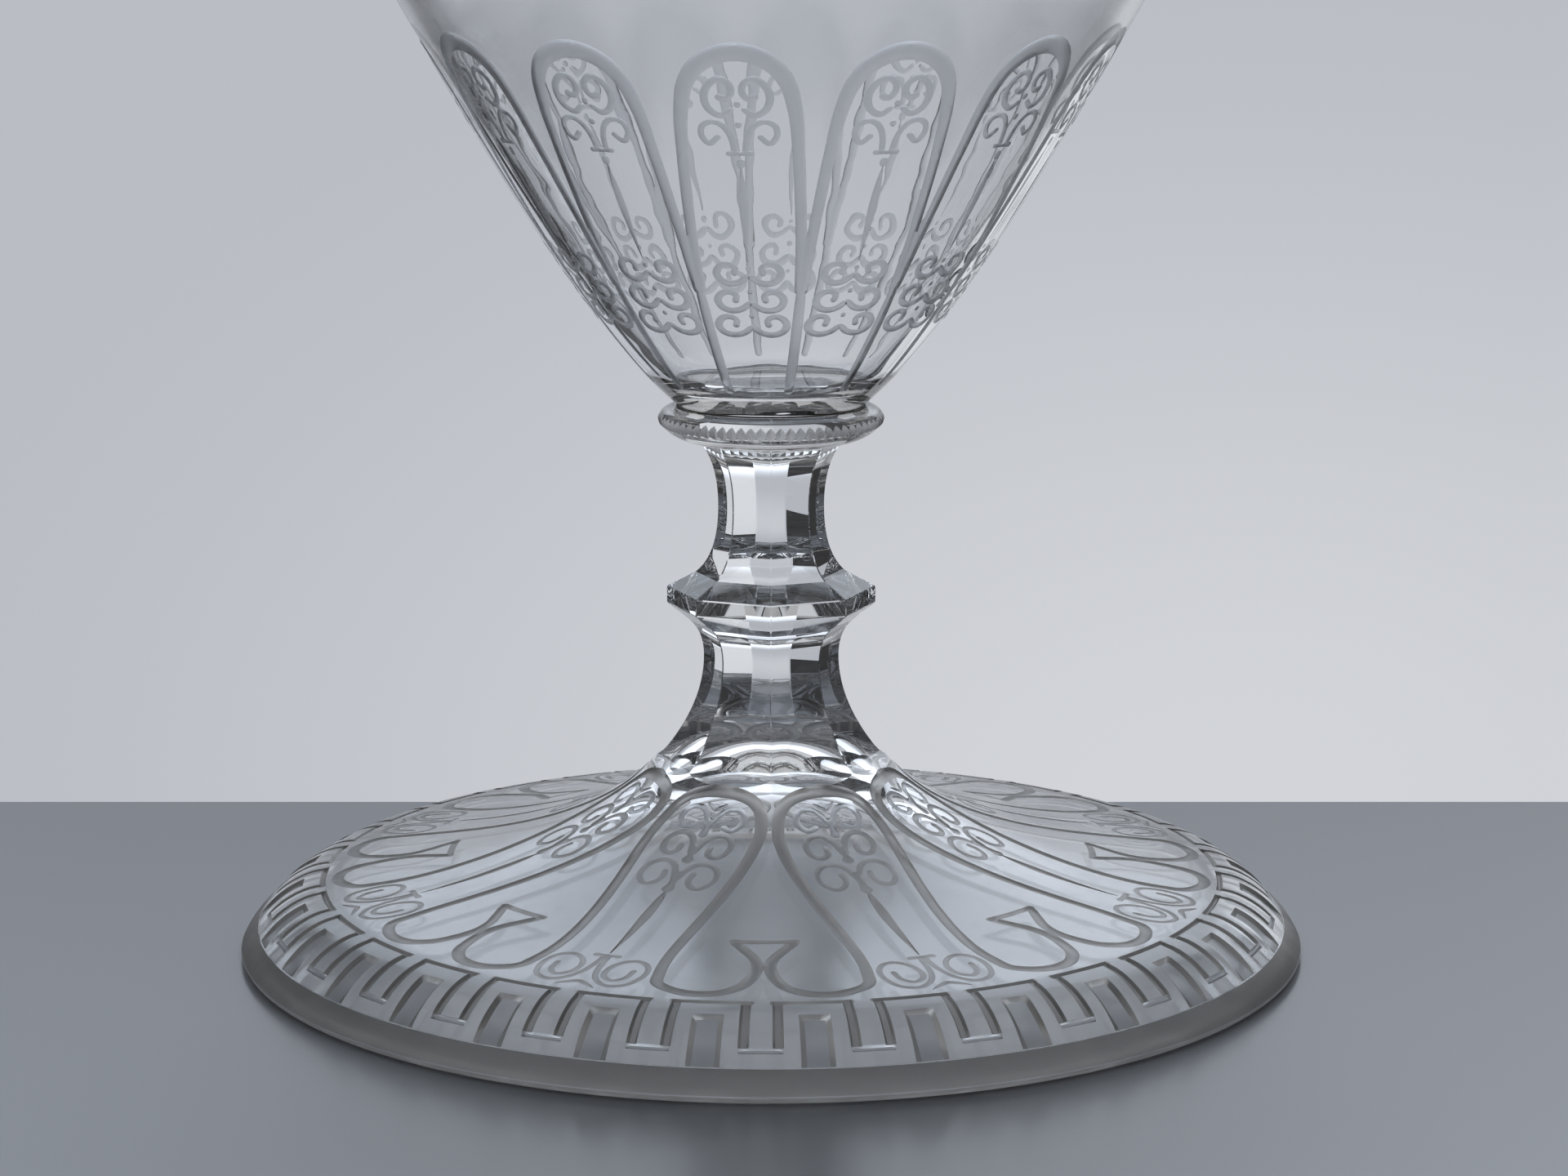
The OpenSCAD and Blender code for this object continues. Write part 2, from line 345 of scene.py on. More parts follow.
def level_face(inner: Array, outer: Array, height: float, up: bool, finish: Finish) -> Patch:
    """Makes a level ring, or a disc where the inner edge lies on the axis.

    Args:
        inner: Radius and angle along the inner edge.
        outer: Radius and angle along the outer edge, as many as the inner ones.
        height: The level.
        up: Whether the face looks up.
        finish: Its finish.

    Returns:
        The patch.
    """
    count = len(inner)
    flat = np.vstack([inner, outer])
    places = np.column_stack([flat, np.full(2 * count, height)])
    a = np.arange(count - 1)
    triangles = np.vstack([
        np.column_stack([a, a + count, a + count + 1]),
        np.column_stack([a, a + count + 1, a + 1]),
    ])
    at_axis = (places[triangles][:, :, 0] < ON_AXIS).sum(axis=1)
    triangles = triangles[at_axis < 2][:, :: 1 if up else -1]
    return Patch(places, triangles, np.full(len(triangles), finish), None).flattened()


def round_rim(radius: float, angles: Array) -> Array:
    """Gives a round rim as radii and angles."""
    return np.column_stack([np.full(len(angles), radius), angles])


def disc(rim: Array, height: float, up: bool, finish: Finish) -> Patch:
    """Makes a level disc out to a rim of radii and angles."""
    axis = np.column_stack([np.zeros(len(rim)), rim[:, 1]])
    return level_face(axis, rim, height, up, finish)


@dataclass(frozen=True)
class Stretch:
    """Lays the runs of a flat drawing out along a curved side.

    Attributes:
        drawn: Runs on the drawing, rising.
        along: The runs along the side that they come to lie at.
    """

    drawn: tuple[float, ...]
    along: tuple[float, ...]

    def laid(self, runs: Array) -> Array:
        """Gives the runs along the side of runs on the drawing."""
        return np.interp(runs, self.drawn, self.along)


class Cut(ABC):
    """One cut in an engraved side."""

    finish: Finish

    @abstractmethod
    def lines(self, side: "EngravedSide") -> list[Array]:
        """Lists the cut's outline and inner lines on the side's map."""

    @abstractmethod
    def depths(self, side: "EngravedSide", spots: Array) -> tuple[Array, Array]:
        """Gives the cut's depth in millimetres at spots of the map, and which of them lie in it."""


@dataclass(frozen=True)
class Stroke(Cut):
    """A hollow line with round ends.

    Attributes:
        path: Offset from the sector's axis and run down the side, in millimetres.
        width: The line's width, or its width at each point of the path.
        depth: How deep its middle lies.
        finish: Its finish.
        step: The distance between its own points.
    """

    THINNEST = 0.06
    WIDE = 1.1
    INNER_LINES = (-0.55, 0.55)
    CAP_POINTS = 7

    path: Path
    width: float | tuple[float, ...]
    depth: float = 0.3
    finish: Finish = Finish.MATTE
    step: float = 0.42

    def centre(self, side: "EngravedSide") -> tuple[Array, Array]:
        """Lays the line on a side's map.

        Args:
            side: The engraved side.

        Returns:
            The centre line's spots and its half widths there.
        """
        widths = np.broadcast_to(self.width, len(self.path))
        line = smooth_line(np.column_stack([np.array(self.path, float), widths]), self.step)
        runs = side.stretch.laid(line[:, 1])
        radius = side.profile.radius_at(runs)
        spots = np.column_stack([line[:, 0] / radius, side.profile.flat_at(runs)])
        return spots, np.maximum(line[:, 2], self.THINNEST) / 2 / radius

    def lines(self, side: "EngravedSide") -> list[Array]:
        """Lists the stroke's outline and its inner lines.

        Args:
            side: The engraved side.

        Returns:
            The lines, each a row of spots.
        """
        spots, half = self.centre(side)
        along = normed(np.gradient(spots, axis=0))
        across = np.column_stack([-along[:, 1], along[:, 0]])
        turn = np.linspace(math.pi / 2, -math.pi / 2, self.CAP_POINTS)[1:-1, None]
        far = spots[-1] + half[-1] * (np.sin(turn) * across[-1] + np.cos(turn) * along[-1])
        near = spots[0] - half[0] * (np.sin(turn) * across[0] + np.cos(turn) * along[0])
        left = spots + half[:, None] * across
        right = spots - half[:, None] * across
        found = [np.vstack([left, far, right[::-1], near, left[:1]])]
        on_border = np.abs(spots[:, 0] * (side.half_angle - spots[:, 0])) < TINY
        if not on_border.any():
            found.append(spots)
        if np.max(self.width) > self.WIDE:
            found += [spots + share * half[:, None] * across for share in self.INNER_LINES]
        return found

    def depths(self, side: "EngravedSide", spots: Array) -> tuple[Array, Array]:
        """Works out the hollow's depth.

        Args:
            side: The engraved side.
            spots: Where on its map.

        Returns:
            The depths, and which spots lie in the stroke.
        """
        line, half = self.centre(side)
        start, reach = line[:-1], np.diff(line, axis=0)
        apart = spots[:, None] - start
        share = np.clip((apart * reach).sum(-1) / (reach**2).sum(-1), 0, 1)
        distance = np.linalg.norm(apart - share[..., None] * reach, axis=-1)
        local = half[:-1] + share * np.diff(half)
        nearest = (distance / local).min(axis=1)
        return self.depth * np.maximum(1 - nearest**4, 0), nearest < 1


@dataclass(frozen=True)
class Panel(Cut):
    """A straight-sided cut that runs down a side.

    Attributes:
        angle: Its middle, as an angle from the sector's axis.
        half_width: Half its width in millimetres.
        top: The run where it begins.
        foot: The run where it ends.
        floor: Distances in from the edge, and the depths there.
        fade: The runs between which its depth dies away.
        finish: Its finish.
        rung: The distance between points down its sides, in millimetres.
        step: Half the distance between points across it, in millimetres.
    """

    angle: float
    half_width: float
    top: float
    foot: float
    floor: tuple[tuple[float, ...], tuple[float, ...]]
    fade: Pair | None = None
    finish: Finish = Finish.SATIN
    rung: float = 0.8
    step: float = 0.4

    def lines(self, side: "EngravedSide") -> list[Array]:
        """Lists nested frames, one for each bend of the floor.

        Args:
            side: The engraved side.

        Returns:
            The frames, each a closed row of spots.
        """
        found = []
        for inset in self.floor[0]:
            if inset < min(self.half_width, (self.foot - self.top) / 2):
                runs = np.array([self.top + inset, self.foot - inset])
                flats = side.profile.flat_at(runs)
                radius = side.profile.radius_at((self.top + self.foot) / 2)
                reach = (self.half_width - inset) / radius
                low, high = self.angle - reach, self.angle + reach
                ladder = np.linspace(*flats, max(2, int((runs[1] - runs[0]) / self.rung)))
                right = np.column_stack([np.full(len(ladder), high), ladder])
                left = np.column_stack([np.full(len(ladder), low), ladder])
                steps = np.linspace(low, high, max(2, int(self.half_width / self.step)))[1:-1]
                near = np.column_stack([steps, np.full(len(steps), flats[0])])
                far = np.column_stack([steps[::-1], np.full(len(steps), flats[1])])
                found.append(np.vstack([near, right, far, left[::-1], near[:1] if len(near) else right[:1]]))
        return found

    def depths(self, side: "EngravedSide", spots: Array) -> tuple[Array, Array]:
        """Works out the depth of the floor.

        Args:
            side: The engraved side.
            spots: Where on its map.

        Returns:
            The depths, and which spots lie in the panel.
        """
        radius = side.profile.radius_at((self.top + self.foot) / 2)
        run = np.interp(spots[:, 1], side.profile.flat, side.profile.run)
        sides = self.half_width - np.abs(spots[:, 0] - self.angle) * radius
        inside = np.minimum(sides, np.minimum(run - self.top, self.foot - run))
        depth = np.interp(inside, *self.floor, left=0)
        if self.fade:
            depth *= np.interp(run, self.fade, (1, 0))
        return depth, inside > 0


@dataclass
class FacetLimit:
    """Flat facets that cut a round side near its start.

    Attributes:
        outline: The facets' depth outline, as (apothem, height), running outward.
    """

    outline: Profile

    def at(self, heights: Array) -> tuple[Array, Array]:
        """Finds the facets at some heights.

        Args:
            heights: The heights.

        Returns:
            The apothems, endless below the facets, and the normals as apothem and height parts.
        """
        points, normals = self.outline.points[::-1], self.outline.normals[::-1]
        apothems = np.interp(heights, points[:, 1], points[:, 0])
        parts = np.column_stack([np.interp(heights, points[:, 1], column) for column in normals.T])
        apothems = np.where(heights < points[0, 1], FAR, apothems)
        return apothems, normed(parts)


@dataclass
class EngravedSide:
    """A half sector of a round side with cuts in it.

    Attributes:
        profile: The side's outline.
        half_angle: The sector's half angle.
        stretch: Lays a stroke's drawn runs out along the side.
        cuts: What is cut into it.
        columns: How many grid columns the half sector has.
        ground: Gives the finish of uncut spots of the map.
        facets: Flat facets at the side's start.
        border_step: The distance in millimetres between points of the long borders.
        row_gap: The distance between grid rows, as a share of a column's width.
        first_row: The first row's distance from the border, as a share of a column's width.
        clear_gap: How far the grid stays from a cut's lines, as a share of a column's width.
    """

    profile: Profile
    half_angle: float
    stretch: Stretch
    cuts: list[Cut]
    columns: int
    ground: Callable[[Array], Array]
    facets: FacetLimit | None = None
    border_step: float = 0.45
    row_gap: float = 0.866
    first_row: float = 0.75
    clear_gap: float = 0.35

    def border(self) -> list[Array]:
        """Lists the four border lines of the map.

        Returns:
            The lines, each a row of spots.
        """
        end = self.profile.flat[-1]
        across = np.linspace(0, self.half_angle, self.columns + 1)
        length = self.profile.run[-1]
        down = self.profile.flat_at(np.linspace(0, length, int(length / self.border_step)))
        return [
            np.column_stack([across, np.zeros(len(across))]),
            np.column_stack([across, np.full(len(across), end)]),
            np.column_stack([np.zeros(len(down)), down]),
            np.column_stack([np.full(len(down), self.half_angle), down]),
        ]

    def crease(self) -> list[Array]:
        """Finds the line where the facets run out of the round side.

        Returns:
            The line, or none where there are no facets.
        """
        if self.facets is None:
            return []
        apothems = self.facets.at(self.profile.points[:, 1])[0]
        spots = []
        for angle in np.linspace(0, self.half_angle, self.columns + 1):
            over = self.profile.points[:, 0] * math.cos(angle) - apothems
            last = np.flatnonzero(over > 0)[-1]
            share = over[last] / (over[last] - over[last + 1]) if over[last + 1] > -FAR / 10 else 0
            flat = self.profile.flat[last] + share * (self.profile.flat[last + 1] - self.profile.flat[last])
            spots.append((angle, flat))
        return [np.array(spots)]

    def grid(self) -> Array:
        """Fills the uncut ground with a staggered grid of spots.

        Returns:
            The spots.
        """
        gap = self.half_angle / self.columns
        last = self.profile.flat[-1] - gap / 2
        levels = np.arange(gap * self.first_row, last, gap * self.row_gap)
        spots = np.array([
            ((column + (0.5 if row % 2 else 1)) * gap, level)
            for row, level in enumerate(levels)
            for column in range(self.columns - 1 + row % 2)
        ])
        free = np.ones(len(spots), bool)
        for cut in self.cuts:
            for line in cut.lines(self):
                nearest = np.linalg.norm(spots[:, None] - line, axis=-1).min(axis=1)
                free &= nearest > gap * self.clear_gap
            free &= ~cut.depths(self, spots)[1]
        return spots[free]

    def triangulated(self) -> tuple[Array, Array]:
        """Cuts the map into triangles along every line.

        Returns:
            The spots and the triangles.
        """
        lines = self.border() + self.crease() + [line for cut in self.cuts for line in cut.lines(self)]
        spots: list[Vector] = []
        edges: list[tuple[int, int]] = []
        for line in lines:
            first = len(spots)
            spots += [Vector(spot) for spot in line]
            edges += [(i, i + 1) for i in range(first, len(spots) - 1)]
        spots += [Vector(spot) for spot in self.grid()]
        found, _, faces, _, _, _ = delaunay_2d_cdt(spots, edges, [], 0, MAP_WELD)
        places = np.array([spot[:] for spot in found])
        for column, last in ((0, self.half_angle), (1, self.profile.flat[-1])):
            for border in (0.0, last):
                near = np.abs(places[:, column] - border) < 2 * MAP_WELD
                places[near, column] = border
        triangles = np.array(faces)
        middle = places[triangles].mean(axis=1)
        kept = ((middle > 0) & (middle < (self.half_angle, self.profile.flat[-1]))).all(axis=1)
        corners = places[triangles]
        area = np.cross(corners[:, 1] - corners[:, 0], corners[:, 2] - corners[:, 0])
        used, triangles = np.unique(triangles[kept & (np.abs(area) > SLIVER)], return_inverse=True)
        return places[used], triangles.reshape(-1, 3)

    def carved(self, spots: Array) -> tuple[Array, Array, Array]:
        """Works out what the cuts do at spots of the map.

        Args:
            spots: The spots.

        Returns:
            The depths, the finishes and whether each spot lies in a cut.
        """
        depth = np.zeros(len(spots))
        finish = self.ground(spots)
        inside = np.zeros(len(spots), bool)
        for cut in self.cuts:
            deep, within = cut.depths(self, spots)
            wins = within & ((deep > depth) | ~inside)
            finish[wins] = cut.finish
            depth = np.maximum(depth, deep)
            inside |= within
        return depth, finish, inside

    def build(self) -> tuple[Patch, Array, Array]:
        """Makes the half sector.

        Returns:
            The patch, and the angles of its points along its first and last border.
        """
        spots, triangles = self.triangulated()
        points, normals = self.profile.at(spots[:, 1])
        depth = self.carved(spots)[0]
        middle = spots[triangles].mean(axis=1)
        _, finish, cut = self.carved(middle)
        angle = spots[:, 0]
        parts = np.column_stack([normals[:, 0], np.zeros(len(spots)), normals[:, 1]])
        corner_parts = parts[triangles]
        radius = points[:, 0]
        if self.facets is not None:
            apothem, slope = self.facets.at(points[:, 1])
            radius = np.minimum(radius, apothem / np.cos(angle))
            middle_points = self.profile.at(middle[:, 1])[0]
            limit = self.facets.at(middle_points[:, 1])[0]
            on_facet = middle_points[:, 0] * np.cos(middle[:, 0]) > limit
            flat = np.column_stack([slope[:, 0] * np.cos(angle), -slope[:, 0] * np.sin(angle), slope[:, 1]])
            corner_parts[on_facet] = flat[triangles][on_facet]
        sunk = depth[:, None] * normals
        places = np.column_stack([radius - sunk[:, 0], angle, points[:, 1] - sunk[:, 1]])
        guide = turned(parts[triangles].mean(axis=1), middle[:, 0])
        facing = (triangle_normals(cartesian(places[triangles])) * guide).sum(axis=1)
        triangles = np.where(facing[:, None] < 0, triangles[:, ::-1], triangles)
        corner_parts = np.where(facing[:, None, None] < 0, corner_parts[:, ::-1], corner_parts)
        level = np.ptp(depth[triangles], axis=1) < LEVEL
        corner_parts[cut & ~level] = 0
        patch = Patch(places, triangles, finish, corner_parts)
        first = np.sort(angle[spots[:, 1] == 0])
        last = np.sort(angle[spots[:, 1] == self.profile.flat[-1]])
        return patch, first, last


def vertex_places(mesh: bpy.types.Mesh) -> Array:
    """Reads the places of a mesh's vertices.

    Args:
        mesh: The mesh.

    Returns:
        The places in metres, one row each.
    """
    places = np.empty(len(mesh.vertices) * 3, np.float32)
    mesh.vertices.foreach_get("co", places)
    return places.reshape(-1, 3).astype(float)


class NodeBench:
    """Short hand for building a node tree."""

    def __init__(self, tree: bpy.types.NodeTree) -> None:
        """Takes the tree to build in."""
        self.tree = tree

    def add(self, kind: str, inputs: dict | None = None, **settings: object) -> bpy.types.Node:
        """Adds a node.

        Args:
            kind: The node's type name.
            inputs: Values, or sockets to link from, by input name or number.
            settings: The node's own settings.

        Returns:
            The node.
        """
        node = self.tree.nodes.new(kind)
        for name, value in settings.items():
            setattr(node, name, value)
        self.feed(node, inputs or {})
        return node

    def feed(self, node: bpy.types.Node, inputs: dict) -> None:
        """Sets a node's inputs, or links them.

        Args:
            node: The node.
            inputs: Values, or sockets to link from, by input name or number.
        """
        for key, value in inputs.items():
            socket = self.socket(node, key)
            if isinstance(value, Socket):
                self.tree.links.new(value, socket)
            else:
                socket.default_value = value

    def get(self, kind: str, inputs: dict | None = None, output: str | int = 0, **settings: object) -> Socket:
        """Adds a node and gives one of its outputs, by name or number."""
        return self.add(kind, inputs, **settings).outputs[output]

    def noise(self, spot: Socket, scale: float, detail: float) -> Socket:
        """Gives noise of a scale at a spot."""
        return self.get("ShaderNodeTexNoise", {"Vector": spot, "Scale": scale, "Detail": detail}, "Fac")

    def remap(self, value: Socket, source: Pair, target: Pair = (0.0, 1.0), smooth: bool = False) -> Socket:
        """Maps a value from one range to another, and holds it there.

        Args:
            value: What is measured.
            source: The range that it is measured in.
            target: The range that it is mapped to.
            smooth: Whether it starts and ends slowly.

        Returns:
            The mapped value.
        """
        ends = zip(("From Min", "From Max", "To Min", "To Max"), (*source, *target))
        course = "SMOOTHSTEP" if smooth else "LINEAR"
        return self.get("ShaderNodeMapRange", {"Value": value, **dict(ends)}, interpolation_type=course)

    def mix(self, share: Socket, first: Colour | Socket, second: Colour | Socket) -> Socket:
        """Mixes two colours.

        Args:
            share: The second colour's share.
            first: The first colour.
            second: The second colour.

        Returns:
            The mixed colour.
        """
        start, end = (colour if isinstance(colour, Socket) else (*colour, 1) for colour in (first, second))
        inputs = {"Factor_Float": share, "A_Color": start, "B_Color": end}
        return self.get("ShaderNodeMix", inputs, 2, data_type="RGBA")

    @staticmethod
    def socket(node: bpy.types.Node, key: str | int) -> Socket:
        """Finds a node's input by number, by identifier or by name.

        Args:
            node: The node.
            key: The input's number, identifier or name.

        Returns:
            The input.
        """
        if isinstance(key, int):
            return node.inputs[key]
        by_identifier = [socket for socket in node.inputs if socket.identifier == key]
        return by_identifier[0] if by_identifier else node.inputs[key]


def principled(name: str, values: dict) -> tuple[bpy.types.Material, bpy.types.Node, NodeBench]:
    """Starts a material.

    Args:
        name: Its name.
        values: Inputs of its shader that are the same all over.

    Returns:
        The material, its shader and a bench for its nodes.
    """
    material = bpy.data.materials.new(name)
    material.use_nodes = True
    bench = NodeBench(material.node_tree)
    shader = material.node_tree.nodes["Principled BSDF"]
    bench.feed(shader, values)
    return material, shader, bench


def see_through(tint: Colour, index: float) -> dict:
    """Gives the shader inputs of clear matter with a tint and a refractive index."""
    return {"Base Color": (*tint, 1), "Transmission Weight": 1, "IOR": index}


class Ring:
    """A Geometry Nodes tree that repeats a sector round the upright axis and welds it."""

    FINISH = "finish"
    CORNER = "corner_direction"
    WELD = 1e-6
    NO_LENGTH = 1e-20

    def __init__(self, count: int, start: float) -> None:
        """Sets how often the sector is repeated and the angle of the first one."""
        self.count = count
        self.start = start

    def tree(self, name: str, finishes: Materials) -> bpy.types.NodeTree:
        """Builds the node tree.

        Args:
            name: The tree's name.
            finishes: The material of each finish.

        Returns:
            The tree.
        """
        tree = bpy.data.node_groups.new(name, "GeometryNodeTree")
        inputs = {"Geometry": "Geometry", "Count": "Int", "Start": "Float", "Weld": "Float"}
        for label, kind in inputs.items():
            tree.interface.new_socket(label, in_out="INPUT", socket_type=f"NodeSocket{kind}")
        tree.interface.new_socket("Geometry", in_out="OUTPUT", socket_type="NodeSocketGeometry")
        bench = NodeBench(tree)
        source = bench.add("NodeGroupInput").outputs
        index = bench.get("GeometryNodeInputIndex")
        step = bench.get("ShaderNodeMath", {0: TURN, 1: source["Count"]}, operation="DIVIDE")
        angle = bench.get(
            "ShaderNodeMath", {0: index, 1: step, 2: source["Start"]}, operation="MULTIPLY_ADD"
        )
        euler = bench.get("ShaderNodeCombineXYZ", {"Z": angle})
        rotation = bench.get("FunctionNodeEulerToRotation", {0: euler})
        points = bench.get("GeometryNodePoints", {"Count": source["Count"]})
        placed = {"Points": points, "Instance": source["Geometry"], "Rotation": rotation}
        sectors = bench.get("GeometryNodeInstanceOnPoints", placed)
        whole = bench.get("GeometryNodeRealizeInstances", {"Geometry": sectors})
        whole = bench.get("GeometryNodeMergeByDistance", {"Geometry": whole, "Distance": source["Weld"]})
        kind = bench.get("GeometryNodeInputNamedAttribute", {"Name": self.FINISH}, data_type="INT")
        for finish, material in finishes.items():
            chosen = bench.get(
                "FunctionNodeCompare", {"A_INT": kind, "B_INT": int(finish)},
                data_type="INT", operation="EQUAL",
            )
            dressed = {"Geometry": whole, "Selection": chosen, "Material": material}
            whole = bench.get("GeometryNodeSetMaterial", dressed)
        bench.add("NodeGroupOutput", {0: whole})
        return tree

    def make(self, name: str, sector: Patch, finishes: Materials) -> bpy.types.Object:
        """Makes a piece from one of its sectors.

        Args:
            name: The piece's name.
            sector: The sector, mirrored already.
            finishes: The material of each finish.

        Returns:
            The piece as a plain mesh, without its corner normals.
        """
        mesh = bpy.data.meshes.new(f"{name}_sector")
        mesh.from_pydata(cartesian(sector.places) * MM, [], sector.triangles.tolist(), shade_flat=False)
        kind = mesh.attributes.new(self.FINISH, "INT", "FACE")
        kind.data.foreach_set("value", sector.finishes.astype(np.int32))
        corner = mesh.attributes.new(self.CORNER, "FLOAT_VECTOR", "CORNER")
        corner.data.foreach_set("vector", sector.normals.astype(np.float32).ravel())
        piece = bpy.data.objects.new(name, mesh)
        bpy.context.scene.collection.objects.link(piece)
        modifier = piece.modifiers.new("ring", "NODES")
        modifier.node_group = self.tree(f"{name}_ring", finishes)
        values = {"Count": self.count, "Start": self.start, "Weld": self.WELD}
        for item in modifier.node_group.interface.items_tree:
            if item.in_out == "INPUT" and item.name in values:
                modifier[item.identifier] = values[item.name]
        graph = bpy.context.evaluated_depsgraph_get()
        whole = bpy.data.meshes.new_from_object(
            piece.evaluated_get(graph), preserve_all_data_layers=True, depsgraph=graph
        )
        piece.modifiers.remove(modifier)
        piece.data = whole
        whole.name = name
        bpy.data.meshes.remove(mesh)
        return piece

    @classmethod
    def settle_normals(cls, piece: bpy.types.Object) -> None:
        """Gives a ring its corner normals, averaged within a finish where none are set.

        Args:
            piece: The piece, whose ring attributes are then removed.
        """
        mesh = piece.data
        corners = len(mesh.loops)
        places = vertex_places(mesh)
        vertex = np.empty(corners, np.int32)
        mesh.loops.foreach_get("vertex_index", vertex)
        parts = np.empty(corners * 3, np.float32)
        mesh.attributes[cls.CORNER].data.foreach_get("vector", parts)
        parts = parts.reshape(-1, 3).astype(float)
        finish = np.empty(corners // 3, np.int32)
        mesh.attributes[cls.FINISH].data.foreach_get("value", finish)
        angle = np.arctan2(places[vertex, 1], places[vertex, 0])
        normals = turned(parts, angle)
        own = triangle_normals(places[vertex].reshape(-1, 3, 3))
        key = vertex * len(Finish) + np.repeat(finish, 3)
        free = np.linalg.norm(parts, axis=1) < TINY
        mean = np.column_stack([
            np.bincount(key[free], np.repeat(own[:, axis], 3)[free], (vertex.max() + 1) * len(Finish))
            for axis in range(3)
        ])
        normals[free] = mean[key[free]]
        normals /= np.maximum(np.linalg.norm(normals, axis=1, keepdims=True), cls.NO_LENGTH)
        mesh.normals_split_custom_set(normals.tolist())
        for name in (cls.CORNER, cls.FINISH):
            mesh.attributes.remove(mesh.attributes[name])


@dataclass(frozen=True)
class Hand:
    """How a hand spaced the sectors of a ring, a little wider at the front.

    Attributes:
        turn: The front sector's turn, in degrees.
        crowding: How much wider the front lies, in radians a quarter turn away.
        shift: A turn of all sectors that grows outward, in degrees.
        reach: The radii between which the shift and the crowding grow, in millimetres.
    """

    turn: float
    crowding: float
    shift: float = 0.0
    reach: Pair | None = None

    def crowd(self, piece: bpy.types.Object) -> None:
        """Turns a ring's vertices about the axis.

        Args:
            piece: The ring.
        """
        mesh = piece.data
        x, y, z = vertex_places(mesh).T
        front = -TURN / 4 + math.radians(self.turn)
        radius, angle = np.hypot(x, y), np.arctan2(y, x)
        grown = np.interp(radius, np.array(self.reach) * MM, (0, 1)) if self.reach else 1.0
        share = grown * grown * (3 - 2 * grown)
        angle += share * (math.radians(self.shift) + self.crowding * np.sin(angle - front))
        moved = np.column_stack([radius * np.cos(angle), radius * np.sin(angle), z])
        mesh.vertices.foreach_set("co", moved.astype(np.float32).ravel())


@dataclass(frozen=True)
class GlassFinish:
    """A finish of the glass.

    Attributes:
        name: The material's name.
        tint: What the glass lets through.
        rough: The lowest and highest roughness.
        patch_size: Size in millimetres of the patches that the roughness varies over.
        grain_size: Size in millimetres of the surface's grain or waves.
        grain_height: Height in millimetres of the grain or waves.
        fade: The levels in millimetres between which the roughness grows from nothing.
    """

    name: str
    tint: Colour
    rough: Pair
    patch_size: float
    grain_size: float
    grain_height: float
    fade: Pair | None = None

    def material(self) -> bpy.types.Material:
        """Builds the material.

        Returns:
            The material.
        """
        material, shader, bench = principled(self.name, see_through(self.tint, GLASS_IOR))
        spot = bench.get("ShaderNodeTexCoord", output="Object")
        patches = bench.noise(spot, 1 / (self.patch_size * MM), 3.0)
        rough = bench.remap(patches, PATCH_SPAN, self.rough)
        grain = bench.noise(spot, 1 / (self.grain_size * MM), 2.0)
        bump = {"Height": grain, "Distance": self.grain_height * MM, "Strength": 1.0}
        if self.fade:
            height = bench.get("ShaderNodeSeparateXYZ", {0: spot}, "Z")
            share = bench.remap(height, (self.fade[0] * MM, self.fade[1] * MM), smooth=True)
            rough = bench.get("ShaderNodeMath", {0: rough, 1: share}, operation="MULTIPLY")
            bump["Strength"] = share
        bench.feed(shader, {"Roughness": rough, "Normal": bench.get("ShaderNodeBump", bump)})
        return material


@dataclass(frozen=True)
class JointFinish:
    """A face where glass meets glass, through which light passes straight."""

    name: str
    tint: Colour

    def material(self) -> bpy.types.Material:
        """Builds the material.

        Returns:
            The material.
        """
        return principled(self.name, {**see_through(self.tint, 1.0), "Roughness": 0})[0]


@dataclass(frozen=True)
class CementFinish:
    """The edge of the cement film, brown and broken by darker specks."""

    name: str = "cement_edge"
    dark: Colour = (0.030, 0.022, 0.015)
    pale: Colour = (0.16, 0.12, 0.085)
    speck_size: float = 0.9
    rough: float = 0.6

    def material(self) -> bpy.types.Material:
        """Builds the material.

        Returns:
            The material.
        """
        material, shader, bench = principled(self.name, {"Roughness": self.rough})
        spot = bench.get("ShaderNodeTexCoord", output="Object")
        specks = bench.noise(spot, 1 / (self.speck_size * MM), 4.0)
        bench.feed(shader, {"Base Color": bench.mix(bench.remap(specks, SPECK_SPAN), self.dark, self.pale)})
        return material


CLEAR_TINT = (0.985, 0.99, 0.994)
POLISHED = (0.0, 0.01)
CLEAR_GLASS = GlassFinish("clear_glass", CLEAR_TINT, POLISHED, 14.0, 14.0, 0.004)
MATTE_CUT = GlassFinish("matte_cut", (0.28, 0.265, 0.245), (0.34, 0.48), 2.2, 0.16, 0.02)
SATIN_CUT = GlassFinish("satin_cut", (0.80, 0.795, 0.785), (0.26, 0.32), 1.6, 0.3, 0.002)
DULL_CUT = GlassFinish("dull_cut", (0.36, 0.352, 0.34), (0.32, 0.44), 2.0, 0.17, 0.016)
PALE_CUT = GlassFinish("pale_cut", (0.54, 0.555, 0.575), (0.28, 0.40), 2.0, 0.18, 0.014)
FROSTED = GlassFinish(
    "frosted_ground", (0.985, 0.99, 0.992), (0.15, 0.2), 5.0, 0.14, 0.008, (93.0, 105.0)
)
WAVED_GLASS = GlassFinish("waved_glass", CLEAR_TINT, POLISHED, 14.0, 11.0, 0.12)
WORN_GLASS = GlassFinish("worn_glass", CLEAR_TINT, (0.14, 0.24), 6.0, 1.4, 0.0015, (20.0, 15.0))
GLASS_JOINT = JointFinish("glass_joint", (1.0, 1.0, 1.0))
CEMENT_FILM = JointFinish("cement_film", (0.80, 0.785, 0.76))


